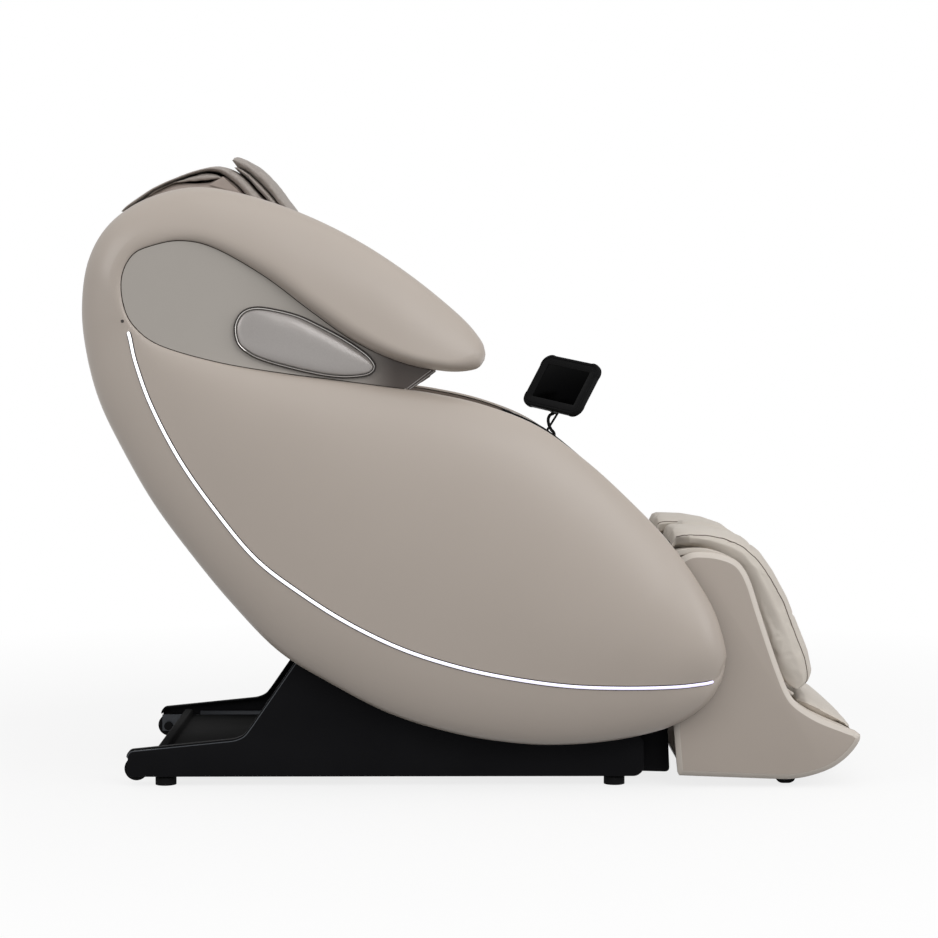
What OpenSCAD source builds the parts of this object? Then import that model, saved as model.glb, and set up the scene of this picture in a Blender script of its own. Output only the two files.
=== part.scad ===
// Massage chair: a tilting cabin of two painted side shells on a low base, with a lifting ottoman.
// X points to the feet, Y to the occupant's left, Z up; origin on the floor under the middle of the box.

/* [Cabin] */
// Width over the widest part of the two side shells
cabin_w = 810; // [790:5:830]
// How far a side shell bulges out from its inner panel
shell_depth = 75; // [65:1:85]
// Wall of the side shells
shell_wall = 4; // [3:0.5:5]
// Thickness of the inner side panels
panel_t = 8; // [6:1:10]
// Width of each arm pad
arm_pad_w = 45.4; // [42:0.2:50]
// Thickness of the back cushion
back_t = 77; // [70:1:85]
// Wall of the moulded covers
cover_t = 5; // [4:0.5:6]
// Width of the light strip
light_w = 8; // [6:1:10]

/* [Motion] */
// Height of the cabin's tilt pivot
tilt_z = 200; // [195:1:205]
// Diameter of the pivot pins and of the knee shaft
pin_d = 18; // [16:1:20]
// Radial clearance of everything that turns or slides
run_gap = 0.05; // [0.03:0.01:0.1]
// Clearance between pieces that only lie against each other
seat_gap = 0.3; // [0.2:0.05:0.5]

/* [Base] */
// Clear space between a base side cover and the cabin's inner panel beside it
base_room = 33.7; // [31:0.5:40]
// Thickness of the steel plates
plate_t = 6; // [5:0.5:7]
// Diameter of the transport wheels
wheel_d = 48; // [44:1:50]
// Width of the transport wheels
wheel_w = 20; // [16:1:22]
// Height of the rubber feet
foot_h = 15; // [14:0.5:16]

/* [Ottoman] */
// Clear space between the ottoman's side and the cabin's inner panel beside it
ottoman_room = 6.7; // [4:0.5:10]
// Wall of the ottoman's side shells
ottoman_wall = 16; // [14:1:17]

/* [Massage unit] */
// Diameter of the bars that the roller carriage runs on
rail_d = 20; // [18:1:22]
// Distance between the two bars
rail_gauge = 300; // [280:5:320]
// Diameter of a massage roller
roller_d = 44; // [40:1:46]
// Width of a massage roller
roller_w = 30; // [26:1:34]

/* [Head] */
// Width of the head pillow
pillow_w = 320; // [300:5:340]
// Width of the head flap
flap_w = 330; // [310:5:350]

/* [Tablet] */
// Width of the tablet case
tablet_w = 174; // [166:1:182]
// Height of the tablet case
tablet_h = 130; // [124:1:136]
// Thickness of the tablet case
tablet_t = 14; // [12:1:16]
// Diameter of the tablet's stalk
stalk_d = 7; // [6:0.5:9]
// Diameter of the tablet's lead
lead_d = 5; // [4:0.5:5.5]

/* [Hidden] */
$fn = 48;

taupe = "#b8aca2";
grey_taupe = "#a49d97";
silver = "#aaa5a2";
hide = "#cac3bc";
black = "#1c1c1f";
steel = "#6f7378";

// ---- Places across the chair, each worked out from the sizes above

rim_y = cabin_w/2 - shell_depth;           // where the side shell's rim meets the inner panel
crease_y = cabin_w/2 - 15;                 // at the light line
panel_out = rim_y - seat_gap;              // outer face of the inner panel
panel_in = panel_out - panel_t;            // inner face of the inner panel
arm_out = panel_in - seat_gap;
arm_in = arm_out - arm_pad_w;              // inner side of the arm pads
arm_middle = (arm_in + arm_out)/2;
seat_half = arm_in - 6;                    // half the width of the seat and of the lower back cushion
base_half = panel_in - base_room;          // outer face of the base covers
base_plate_y = base_half - cover_t - seat_gap;   // outer face of the base frame's towers
frame_y = base_half + 4;                   // inner face of the seat frame's side plates
ottoman_half = panel_in - ottoman_room;    // outer face of the ottoman's sides
slide_y = ottoman_half - ottoman_wall - seat_gap; // outer face of the ottoman's slide bars
slide_t = 7;
leg_y = slide_y - slide_t - seat_gap - plate_t;   // inner face of the leg frame's plates

// ---- Places along the chair (X) and up (Z)

tilt_x = 50;
knee = [370, 478];
rear_wheel = [-678, 10 + wheel_d/2];
back_origin = [-140, 790];                 // a point of the back cushion's face
back_along = [-0.636, 0.772];              // up along the back
back_out = [0.772, 0.636];                 // out of the back's face
calf_along = [0.34, -0.94];                // down along the calf

// One row for each station round the side shell, from the wing's tip over the head and down to the
// front of the arm: outer edge x, z, crease x, z, inner edge x, z, and how full the bulge is there.
shell_stations = [
    [17, 868, 18, 860, 16, 849, 0.12],
    [8, 890, 2, 862, -2, 831, 0.55],
    [-30, 934, -54, 852, -60, 827, 0.85],
    [-118, 1007, -136, 872, -148, 845, 1],
    [-214, 1072, -220, 918, -238, 886, 1],
    [-312, 1123, -300, 976, -322, 945, 1],
    [-412, 1161, -394, 1050, -412, 1013, 1],
    [-512, 1184, -502, 1098, -508, 1067, 1],
    [-586, 1181, -572, 1108, -572, 1080, 1],
    [-662, 1154, -640, 1096, -627, 1070, 1],
    [-722, 1106, -684, 1064, -664, 1052, 1],
    [-758, 1038, -708, 1010, -685, 1010, 1],
    [-770, 950, -694, 945, -682, 955, 1],
    [-762, 862, -672, 904, -660, 912, 1],
    [-738, 770, -658, 844, -610, 876, 1],
    [-696, 680, -628, 760, -500, 844, 1],
    [-634, 570, -574, 656, -384, 824, 1],
    [-560, 468, -506, 558, -276, 810, 1],
    [-480, 370, -428, 464, -180, 797, 1],
    [-390, 277, -340, 396, -84, 784, 1],
    [-290, 214, -245, 336, 20, 760, 1],
    [-170, 152, -140, 286, 124, 718, 1],
    [-40, 112, -30, 251, 220, 648, 1],
    [90, 92, 75, 229, 304, 571, 1],
    [200, 91, 180, 215, 374, 498, 1],
    [305, 104, 280, 211, 428, 426, 1],
    [392, 129, 370, 212, 466, 362, 0.95],
    [452, 168, 428, 215, 484, 312, 0.75],
    [482, 212, 470, 222, 492, 280, 0.4],
    [491, 246, 491, 256, 494, 266, 0.12]
];
tip_station = 0;
rear_station = 12;                         // where the recess is flush, at the back
light_start = 13;                          // the light line's first station
light_end = 28;                            // and its last
recess_rear = -690;                        // the recess is flush with the shell here
recess_front = -60;                        // and has sunk to the inner panel here
recess_front_edge = [[-78, 827], [-86, 812], [-104, 800], [-128, 791]];

pod_outline = [
    [-469, 908], [-465, 878], [-446, 854], [-410, 836], [-355, 824], [-300, 817], [-250, 815],
    [-212, 821], [-193, 837], [-200, 857], [-247, 882], [-300, 910], [-352, 936], [-405, 950],
    [-450, 940]
];
pod_rim = 9;                               // width of the bezel
pod_stand = 12;                            // how far the bezel stands out of the recess
pod_dome = 14;                             // rise of the pod's cover above its edge

back_path = [[-496, 1222], [-430, 1142], [-360, 1057], [-250, 923], [-140, 790], [-60, 668],
    [-18, 560], [-4, 470], [0, 420]];
seat_path = [[6, 404], [60, 402], [130, 410], [200, 425], [270, 450], [320, 476], [342, 484]];
seat_low = [[6, 332], [60, 330], [120, 334], [190, 346], [250, 366], [296, 398], [322, 440]];
arm_path = [[-150, 770], [-80, 762], [20, 738], [120, 696], [214, 628], [300, 546], [338, 500]];
flap_path = [[-722, 1150], [-688, 1166], [-617, 1204], [-560, 1233], [-526, 1242], [-500, 1236],
    [-470, 1212], [-430, 1172], [-330, 1052], [-300, 1016]];
flap_low = [[-717, 1142], [-684, 1155], [-614, 1192], [-562, 1219], [-530, 1227], [-502, 1222]];
pillow_path = [[-490, 1259], [-466, 1251], [-445, 1241], [-415, 1210], [-385, 1174], [-330, 1108],
    [-310, 1078], [-304, 1058]];
pillow_hinge = [-490, 1240];

ottoman_top = [[390, 450], [423, 468], [452, 470], [482, 466], [512, 455], [531, 436], [546, 405],
    [562, 355], [582, 295], [602, 238], [622, 190], [642, 166], [682, 141], [732, 119], [756, 110]];
ottoman_low = [[765, 103], [762, 92], [752, 76], [733, 56], [707, 38], [673, 25], [633, 17],
    [584, 17], [404, 24], [398, 60], [393, 118]];
pad_face = [[379, 500], [388, 510], [404, 513], [458, 511], [500, 504], [541, 490], [575, 462],
    [602, 424], [631, 371], [657, 306], [673, 266], [681, 226], [676, 202], [662, 188]];
pad_back = [[386, 462], [400, 472], [430, 476], [462, 474], [496, 462], [516, 446], [534, 404],
    [552, 350], [572, 290], [590, 242], [600, 222], [610, 206], [620, 196], [632, 188]];
centre_face = [[409, 510], [436, 513], [466, 512], [502, 508], [530, 497], [556, 480], [582, 452],
    [604, 410], [628, 340], [642, 286], [650, 240], [648, 200]];
centre_back = concat([[409, 474.5]], [for (i = [2:12]) pad_back[i]]);
foot_face = [[650, 180], [670, 181], [688, 172], [706, 161], [735, 143], [752, 128], [764, 114]];
foot_back = [[634, 172], [656, 156], [680, 143], [706, 131], [732, 120], [748, 112], [757, 106]];

tablet_centre = [196.5, arm_middle + 1.3, 793.5];
tablet_turn = -131;                        // which way the glass faces, seen from above
tablet_lean = 60;                          // how far it leans back
tablet_roll = 80;                          // how it is turned in its own plane
tablet_pin = [-9, -47, -22];                // the tilt pin, seen from the middle of the glass
pin_at = tablet_centre + turned(leaned(turned(tablet_pin, tablet_roll), tablet_lean), tablet_turn);
collar_z = 731;                            // underside of the swivel
stalk_route = [for (p = [[182, 0.3, 666], [182, 0.3, 683], [175.5, 2, 692], [170.5, 4.5, 703], [169.3, 7, 715],
    [173.5, 9.5, 724], [pin_at[0], pin_at[1] - arm_middle, collar_z - 4]])
    [p[0], arm_middle + p[1], p[2]]];
lead_route = [for (p = [[168, 7.3, 672], [168, 7.3, 691], [171.5, 11, 697], [177, 15.5, 705.5], [183, 17.5, 715],
    [188.5, 17, 724], [191.9, 15.5, 730], [192, 13.5, 733],
    [pin_at[0] + 8.7, pin_at[1] - arm_middle + 2, collar_z + 3]]) [p[0], arm_middle + p[1], p[2]]];
panel_line = [[66, 740], [160, 696], [246, 628]];  // top of the control panel on the left arm

// ---- Small geometry helpers

function unit(v) = v/max(norm(v), 1e-6);
function mix(a, b, t) = a + (b - a)*t;
function clamp01(t) = min(1, max(0, t));
function flat(lists) = [for (l = lists) for (p = l) p];
function reversed(l) = [for (i = [len(l) - 1:-1:0]) l[i]];
function total(l, i = 0) = i == len(l) - 1 ? l[i] : l[i] + total(l, i + 1);
function middle(l) = total(l)/len(l);

// Catmull-Rom curve through points of any size, n steps to a span
function between(a, b, c, d, t) =
    0.5*((2*b) + (c - a)*t + (2*a - 5*b + 4*c - d)*t*t + (3*b - a - 3*c + d)*t*t*t);
function smooth(P, n) = let(e = len(P) - 1) concat(
    [for (i = [0:e - 1]) for (s = [0:n - 1])
        between(P[max(i - 1, 0)], P[i], P[i + 1], P[min(i + 2, e)], s/n)],
    [P[e]]);
function smooth_ring(P, n) = let(c = len(P))
    [for (i = [0:c - 1]) for (s = [0:n - 1])
        between(P[(i - 1 + c)%c], P[i], P[(i + 1)%c], P[(i + 2)%c], s/n)];

// n + 1 points evenly spaced along a path
function run(P, i = 0, s = 0) = i == len(P) - 1 ? [s]
    : concat([s], run(P, i + 1, s + norm(P[i + 1] - P[i])));
function even(P, n) = let(s = run(P), e = len(P) - 1)
    [for (k = [0:n]) let(t = s[e]*k/n)
        [for (a = [0:len(P[0]) - 1]) lookup(t, [for (i = [0:e]) [s[i], P[i][a]]])]];

// A flat path moved sideways by d, to the left of its direction
function sideways(P, d) = let(e = len(P) - 1)
    [for (i = [0:e]) let(v = unit(P[min(i + 1, e)] - P[max(i - 1, 0)])) P[i] + d*[-v[1], v[0]]];
function sideways_ring(P, d) = let(c = len(P))
    [for (i = [0:c - 1]) let(v = unit(P[(i + 1)%c] - P[(i - 1 + c)%c])) P[i] + d*[-v[1], v[0]]];
function band(P, a, b) = concat(sideways(P, a), reversed(sideways(P, b)));
function at_y(p, y) = [p[0], y, p[1]];

// A point of the back, s up along it and h out of its face
function on_back(s, h) = back_origin + s*back_along + h*back_out;

// A closed skin through rings of points, with a fan at each end
module loft(rings) {
    n = len(rings);
    m = len(rings[0]);
    polyhedron(
        concat(flat(rings), [middle(rings[0]), middle(rings[n - 1])]),
        concat(
            [for (i = [0:n - 2]) for (j = [0:m - 1]) let(k = (j + 1)%m)
                each [[i*m + j, i*m + k, (i + 1)*m + k], [i*m + j, (i + 1)*m + k, (i + 1)*m + j]]],
            [for (j = [0:m - 1]) let(k = (j + 1)%m)
                each [[n*m, k, j], [n*m + 1, (n - 1)*m + j, (n - 1)*m + k]]]));
}

// A thin wall between two grids of points
module wall(outer, inner) {
    n = len(outer);
    m = len(outer[0]);
    o = n*m;
    function quad(a, b, c, d) = [[a, b, c], [a, c, d]];
    polyhedron(
        concat(flat(outer), flat(inner)),
        concat(
            [for (i = [0:n - 2]) for (j = [0:m - 2]) let(a = i*m + j) each concat(
                quad(a, a + 1, a + m + 1, a + m), quad(o + a, o + a + m, o + a + m + 1, o + a + 1))],
            [for (i = [0:n - 2]) let(a = i*m, b = i*m + m - 1) each concat(
                quad(a, a + m, o + a + m, o + a), quad(b, o + b, o + b + m, b + m))],
            [for (j = [0:m - 2]) let(a = j, b = (n - 1)*m + j) each concat(
                quad(a, o + a, o + a + 1, a + 1), quad(b, b + 1, o + b + 1, o + b))]));
}

// A round tube swept along a route
module tube(route, d, sides) {
    e = len(route) - 1;
    loft([for (i = [0:e])
        let(v = unit(route[min(i + 1, e)] - route[max(i - 1, 0)]),
            a = unit(cross(v, [0, 1, 0])), b = cross(v, a))
        [for (k = [0:sides - 1]) route[i] + d/2*(cos(360*k/sides)*a + sin(360*k/sides)*b)]]);
}

// Straight rods between points, with a ball at each bend
module rods(route, d) {
    for (i = [0:len(route) - 2]) let(v = route[i + 1] - route[i]) {
        translate(route[i]) rotate([0, acos(v[2]/norm(v)), atan2(v[1], v[0])]) cylinder(d=d, h=norm(v));
        if (i > 0) translate(route[i]) sphere(d=d + 1);
    }
}

// A flat shape in X and Z, given a thickness from y0 to y1
module slab(y0, y1) {
    translate([0, max(y0, y1), 0]) rotate([90, 0, 0]) linear_extrude(abs(y1 - y0)) children();
}
module bar(x, z, d, y0, y1) { slab(y0, y1) translate([x, z]) circle(d=d); }
module both_sides() { children(); mirror([0, 1, 0]) children(); }
module left_of() { mirror([0, 1, 0]) children(); }

// A flat strap between two points, with round ends of diameter w that stand 0.5 mm proud of its sides
module strap(p, q, w) {
    translate(p) circle(d=w);
    translate(q) circle(d=w);
    translate(p) rotate(atan2((q - p)[1], (q - p)[0])) translate([0, 0.5 - w/2]) square([norm(q - p), w - 1]);
}

// ---- Side shells, their recess, pod and light (all made for the right side, at -Y)

function recess_y(x) = rim_y + 2
    + (crease_y - rim_y - 6)*(0.5 + 0.5*cos(180*clamp01((x - recess_rear)/(recess_front - recess_rear))));

stations = smooth(shell_stations, 2);
rim_steps = 3;
field_steps = 7;
lens_bulge = 16;
function shell_ring(r) =
    let(o = [r[0], r[1]], c = [r[2], r[3]], i = [r[4], r[5]], f = r[6],
        yo = rim_y, yi = mix(rim_y, recess_y(i[0]), clamp01(2*f)), yc = mix(rim_y, crease_y, f),
        wide = clamp01(norm(i - c)/300))
    concat(
        [for (k = [0:rim_steps - 1]) let(a = 70*k/rim_steps)
            at_y(mix(o, c, (1 - cos(a))/(1 - cos(70))), -mix(yo, yc, sin(a)/sin(70)))],
        [for (k = [0:field_steps]) let(t = sin(90*k/field_steps))
            at_y(mix(c, i, t), -(mix(yi, yc, sqrt(1 - t*t*t)) + f*wide*lens_bulge*sin(180*t)))]);
shell_outer = [for (r = stations) shell_ring(r)];
function grid_normal(G, i, k) =
    let(a = G[min(i + 1, len(G) - 1)][k] - G[max(i - 1, 0)][k],
        b = G[i][min(k + 1, len(G[0]) - 1)] - G[i][max(k - 1, 0)]) unit(cross(a, b));
shell_inner = [for (i = [0:len(shell_outer) - 1]) [for (k = [0:len(shell_outer[0]) - 1])
    let(p = shell_outer[i][k], n = grid_normal(shell_outer, i, k), f = max(0.35, stations[i][6]),
        q = p - shell_wall*f*n) [q[0], min(q[1], -rim_y), q[2]]]];

module side_shell() { wall(shell_outer, shell_inner); }

outer_edge = [for (r = stations) [r[0], r[1]]];
inner_edge = [for (r = stations) [r[4], r[5]]];
rear_index = 2*rear_station;
wing_edge = [for (i = [rear_index:-1:5]) inner_edge[i]];
arm_edge = [for (i = [rear_index:1:37]) inner_edge[i]];

recess_n = 22;
function recess_point(p, inward) = at_y(p, -(recess_y(p[0]) - inward));
module recess_panel() {
    upper = even(concat(sideways(wing_edge, -1.5), [recess_front_edge[0]]), recess_n);
    lower = even(concat(sideways(arm_edge, 1.5), [recess_front_edge[3]]), recess_n);
    front = [for (k = [1:recess_n]) [for (j = [0:4]) recess_point(mix(upper[k], lower[k], j/4), 0)]];
    back = [for (k = [1:recess_n]) [for (j = [0:4])
        let(p = mix(upper[k], lower[k], j/4), d = min(shell_wall, recess_y(p[0]) - rim_y)) recess_point(p, d)]];
    wall(front, back);
}

pod_ring = smooth_ring(pod_outline, 2);
pod_inner = sideways_ring(pod_ring, pod_rim);
module pod_bezel() {
    mid = sideways_ring(pod_ring, pod_rim/2);
    n = len(pod_ring);
    rows = [for (i = [0:n]) let(j = i%n) [
        recess_point(pod_ring[j], -seat_gap), recess_point(pod_ring[j], -pod_stand + 3),
        recess_point(mid[j], -pod_stand), recess_point(pod_inner[j], -pod_stand + 4),
        recess_point(pod_inner[j], -seat_gap)]];
    m = 5;
    polyhedron(flat([for (i = [0:n - 1]) rows[i]]),
        [for (i = [0:n - 1]) for (j = [0:m - 1])
            let(a = i*m + j, b = i*m + (j + 1)%m, c = ((i + 1)%n)*m + (j + 1)%m, d = ((i + 1)%n)*m + j)
            each [[a, c, b], [a, d, c]]]);
}
module pod_cover() {
    edge = sideways_ring(pod_ring, pod_rim + seat_gap);
    c = middle(edge);
    levels = [[1, 2], [1, pod_stand - 5], [0.97, pod_stand - 1], [0.88, pod_stand + 0.42*pod_dome],
        [0.7, pod_stand + 0.7*pod_dome], [0.4, pod_stand + 0.92*pod_dome], [0.12, pod_stand + pod_dome]];
    loft([for (l = reversed(levels)) [for (p = edge) recess_point(mix(c, p, l[0]), -l[1])]]);
}

module light_strip() {
    w = light_w/2;
    rows = [for (i = [2*light_start:1:2*light_end])
        let(p = shell_outer[i][rim_steps], n = grid_normal(shell_outer, i, rim_steps),
            t = unit(shell_outer[i][rim_steps + 1] - shell_outer[i][rim_steps - 1]))
        [p + n*seat_gap*2 - t*w, p + n*seat_gap - t*0, p + n*seat_gap*2 + t*w, p + n*3 + t*w*0.7,
            p + n*3 - t*w*0.7]];
    loft(rows);
}

module cabin_outline() {
    polygon(concat(outer_edge, reversed([for (i = [38:len(inner_edge) - 2]) inner_edge[i]]),
        reversed(recess_front_edge), reversed([for (i = [1:4]) inner_edge[i]])));
}
module inner_panel() {
    slab(-panel_in, -panel_out) offset(delta=-6) cabin_outline();
}

module side_shell_right() { color(taupe) side_shell(); }
module side_shell_left() { color(taupe) left_of() side_shell(); }
module recess_panel_right() { color(grey_taupe) recess_panel(); }
module recess_panel_left() { color(grey_taupe) left_of() recess_panel(); }
module pod_bezel_right() { color(black) pod_bezel(); }
module pod_bezel_left() { color(black) left_of() pod_bezel(); }
module pod_cover_right() { color(silver) pod_cover(); }
module pod_cover_left() { color(silver) left_of() pod_cover(); }
module light_strip_right() { color("white") light_strip(); }
module light_strip_left() { color("white") left_of() light_strip(); }
module inner_panel_right() { color(hide) inner_panel(); }
module inner_panel_left() { color(hide) left_of() inner_panel(); }

// ---- Base

cover_line = [[-694, 19], [-694, 62], [-688, 70], [-480, 91], [-461, 99], [-448, 116], [-352, 255],
    [-338, 262], [140, 262], [170, 240], [335, 92], [335, 30], [322, 19]];
module base_cover() {
    y1 = -base_half;
    y0 = y1 + cover_t;
    slab(y0, y1) difference() {
        polygon(cover_line);
        translate([tilt_x, tilt_z]) circle(d=pin_d + 10);
    }
    // the flange that turns inwards along the top edge
    slab(y0 - 0.5, y0 + 14) polygon(band([for (i = [1:7]) cover_line[i]], 0, -3));
}
tower_top = [tilt_x, tilt_z];
module base_frame() {
    y1 = base_plate_y;
    color(steel) {
        both_sides() {
            // side plate with its tower
            slab(-y1, -y1 + plate_t) difference() {
                union() {
                    translate([-610, 22]) square([930, 40]);
                    strap([-60, 60], tower_top, 60);
                    strap([160, 60], tower_top, 60);
                    strap([-60, 60], [160, 60], 60);
                }
                translate(tower_top) circle(d=pin_d + 2*run_gap);
            }
            // bracket of the transport wheel
            slab(-y1 + 26, -y1 + 26 + plate_t) difference() {
                translate([-692, 22]) square([132, 36]);
                translate(rear_wheel) circle(d=10 + 2*run_gap);
            }
            // plates over the feet
            for (x = feet_x) translate([x - 23, -y1, foot_plate_z]) cube([46, 44, 4.5]);
        }
        for (x = [-590, -330, -120, 322 - 30 - seat_gap]) slab(-y1, y1) translate([x, 24]) square([30, 30]);
        // clevis of the tilt motor
        for (y = [-22, 16]) slab(y, y + plate_t) difference() {
            strap([-105, 50], motor_foot, 30);
            translate(motor_foot) circle(d=12 + 2*run_gap);
        }
    }
}
motor_foot = [-100, 82];

module base_cover_right() { color(black) base_cover(); }
module base_cover_left() { color(black) left_of() base_cover(); }
module base_tray() {
    half = base_plate_y - plate_t - 34;
    color(black) difference() {
        slab(-half, half) polygon([[-644, 66], [-638, 72], [-624, 72], [-618, 60], [-300, 60], [-300, 54.3],
            [-622, 54.3], [-630, 66], [-638, 66], [-640, 54.3], [-646, 54.3]]);
        for (y = [-140, 0, 140]) translate([-480, y, 50]) cylinder(d=6, h=20);
    }
}
front_cover_half = 236;
module front_cover() {
    half = front_cover_half;
    color(black) difference() {
        slab(-half, half) polygon([[322, 20], [392, 18], [386, 150], [366, 156], [322, 100]]);
        slab(-half + cover_t, half - cover_t) polygon([[321, 25], [387, 23], [381, 144], [368, 149], [321, 95]]);
    }
}
feet_x = [-621, 278];
foot_plate_z = 20;
module rubber_feet() {
    color("#2a2a2c") for (x = feet_x) for (s = [-1, 1]) translate([x, s*(base_plate_y - 22), 0]) {
        cylinder(d=42, h=foot_h);
        cylinder(d=34, h=foot_plate_z - seat_gap);
    }
}
module wheel_axles() {
    y1 = -base_plate_y;
    color(steel) both_sides() {
        bar(rear_wheel[0], rear_wheel[1], 10, y1 + 42, y1 + 0.5);
        bar(rear_wheel[0], rear_wheel[1], 18, y1 + 26 + plate_t + seat_gap, y1 + 42);
        bar(rear_wheel[0], rear_wheel[1], 18, y1 + 0.5, y1 + 25 - wheel_w - seat_gap);
    }
}
module transport_wheel() {
    y0 = -base_plate_y + 25;
    bore = 10 + 2*run_gap;
    translate([rear_wheel[0], y0, rear_wheel[1]]) rotate([90, 0, 0]) rotate_extrude()
        polygon([[bore/2, 0], [wheel_d/2 - 2, 0], [wheel_d/2, 2], [wheel_d/2, wheel_w - 2],
            [wheel_d/2 - 2, wheel_w], [bore/2 + 8, wheel_w], [bore/2 + 6, wheel_w - 3],
            [bore/2, wheel_w - 3]]);
}
module transport_wheel_right() { color("#3a3a3c") transport_wheel(); }
module transport_wheel_left() { color("#3a3a3c") left_of() transport_wheel(); }
box_at = [-446, -180, 60.3];
box_size = [130, 110, 42];
module power_box() {
    color(black) difference() {
        translate(box_at) cube(box_size);
        translate(box_at + [-1, 20, 8]) cube([20, 30, 24]);
        translate(box_at + [-1, 68, 8]) cube([14, 22, 26]);
        bar(switch_at[0], switch_at[2], 3 + 2*run_gap, switch_at[1] - 2.5, switch_at[1] + 24.5);
    }
}
module power_inlet() {
    at = box_at + [0.2, 20 + seat_gap, 8 + seat_gap];
    color("#303034") difference() {
        translate(at) cube([18.5, 30 - 2*seat_gap, 24 - 2*seat_gap]);
        translate(at + [-1, 4, 4]) cube([13, 22 - 2*seat_gap, 16 - 2*seat_gap]);
    }
    color(steel) for (k = [-7, 0, 7]) translate(at + [10, 15 - seat_gap + k - 1, 12 - seat_gap - 3])
        cube([8, 2, 5]);
}
switch_at = [box_at[0] + 5, box_at[1] + 68, box_at[2] + 21];
module power_switch() {
    color("#b02020") translate([switch_at[0], switch_at[1] + 1, switch_at[2]]) rotate([-90, 0, 0])
        linear_extrude(20) polygon([[3, -9], [-6, -9], [-4, 0], [-8, 9], [3, 9]]);
    color("#b02020") bar(switch_at[0], switch_at[2], 3, switch_at[1] - 2, switch_at[1] + 24);
}
module pivot_pins() {
    color(steel) both_sides() {
        bar(tilt_x, tilt_z, pin_d, -base_plate_y + plate_t + 4, -frame_y - plate_t - 6);
        bar(tilt_x, tilt_z, pin_d + 10, -base_plate_y + plate_t + seat_gap, -base_plate_y + plate_t + 5);
    }
}

// ---- Tilt actuator, between the base and the seat frame

rod_end = [-200, 360];
actuator = unit(rod_end - motor_foot);
actuator_l = norm(rod_end - motor_foot);
barrel_l = 190;
rod_d = 18;
eye_clear = 4;                              // play of the open pivot at the rod's end
module along_actuator() {
    translate([motor_foot[0], 0, motor_foot[1]]) rotate([0, atan2(actuator[0], actuator[1]), 0]) children();
}
module tilt_motor() {
    color(black) difference() {
        union() {
            slab(-14, 14) translate(motor_foot) circle(d=30);
            along_actuator() cylinder(d=26, h=30);
            along_actuator() translate([0, 0, 18]) cylinder(d=44, h=barrel_l - 18);
            along_actuator() translate([34, 0, 24]) cylinder(d=42, h=106);
            along_actuator() translate([0, -15, 28]) cube([34, 30, 24]);
            bar(motor_foot[0], motor_foot[1], 12, -24, 24);
        }
        along_actuator() translate([0, 0, 28]) cylinder(d=rod_d + 2*run_gap, h=barrel_l);
    }
}
module tilt_rod() {
    color("#c8ccd0") difference() {
        union() {
            along_actuator() translate([0, 0, 105]) cylinder(d=rod_d, h=actuator_l - 105 - 14);
            slab(-11, 11) translate(rod_end) circle(d=40);
        }
        bar(rod_end[0], rod_end[1], 16 + 2*eye_clear, -12, 12);
    }
}

// ---- Seat frame and what it carries

back_bar = [[-108, 350], [-120, 392], [-176, 470], [-250, 590], [-396, 768], [-560, 968], [-628, 1052]];
module seat_frame() {
    y0 = frame_y;
    color(steel) {
        both_sides() {
            slab(-y0, -y0 - plate_t) difference() {
                union() {
                    strap([tilt_x, tilt_z], [-120, 350], 60);
                    strap([tilt_x, tilt_z], [220, 330], 60);
                    strap([-120, 350], [220, 336], 44);
                    strap([220, 336], [330, 404], 36);
                    strap([330, 404], knee, 36);
                }
                translate([tilt_x, tilt_z]) circle(d=pin_d + 2*run_gap);
                translate(knee) circle(d=pin_d + 2*run_gap);
            }
            // spacers to the inner panel
            for (p = [[-120, 350], [200, 335]])
                bar(p[0], p[1], 26, -y0 - plate_t + 1, -panel_in + seat_gap);
            // back uprights
            slab(-y0 + 26, -y0 - 1) polygon(band(back_bar, -13, 13));
            // brackets that hold the rails
            for (s = rail_ends) along_back(s, -rail_h) translate([0, -rail_gauge/2, -14]) difference() {
                translate([-36, -16, 0]) cube([51, 32, 28]);
                translate([0, 0, -1]) cylinder(d=rail_d + 2*run_gap, h=30);
            }
        }
        // cross tubes
        for (p = [[-110, 404], [226, 334]]) bar(p[0], p[1], 28, -y0 - 1, y0 + 1);
        for (s = rail_ends) let(p = on_back(s, -rail_h - 30)) bar(p[0], p[1], 24, -y0 + 1, y0 - 1);
        bar(knee_tube[0], knee_tube[1], 24, -y0 - 1, y0 + 1);
        // lug and pin for the tilt rod
        for (y = [-18, 12]) slab(y, y + plate_t) strap([-110, 404], rod_end, 28);
        bar(rod_end[0], rod_end[1], 16, -18, 18);
        // seat pan
        slab(-seat_half + 1, seat_half - 1) polygon(band(
            [for (p = sideways(smooth(seat_low, 2), -seat_gap)) if (p[0] < 275) p], 0, -plate_t));
        slab(-200, 200) polygon([[212, 326], [240, 326], [236, 355], [216, 351]]);
        slab(-y0 - 1, y0 + 1) polygon([[20, 316], [60, 316], [60, 326], [20, 326]]);
    }
}
rail_ends = [-80, 455];
knee_tube = [318, 392];

module seat_section(path, under, half, crown) {
    // a crowned cushion along a path, drawn in at its sides and sewn down the middle
    n = len(path);
    loft([for (i = [0:n - 1])
        let(end = i == 0 || i == n - 1 ? 0.0 : 1, f = path[i], b = under[i])
        concat(
            [for (k = [-5:5]) let(u = k/5, d = crown*end*(1 - u*u)*(k == 0 ? 0.55 : 1) - (abs(k) == 5 ? 10 : 0))
                at_y(f + unit(f - b)*(d - crown), u*(half - (abs(k) == 5 ? 0 : 3)))],
            [for (u = [1, 0.94, -0.94, -1])
                at_y(abs(u) == 1 ? mix(f, b, 0.7) : b, u*(abs(u) == 1 ? half - 4 : half))])]);
}
module seat_cushion() { color(hide) seat_section(smooth(seat_path, 2), smooth(seat_low, 2), seat_half, 14); }

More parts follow.
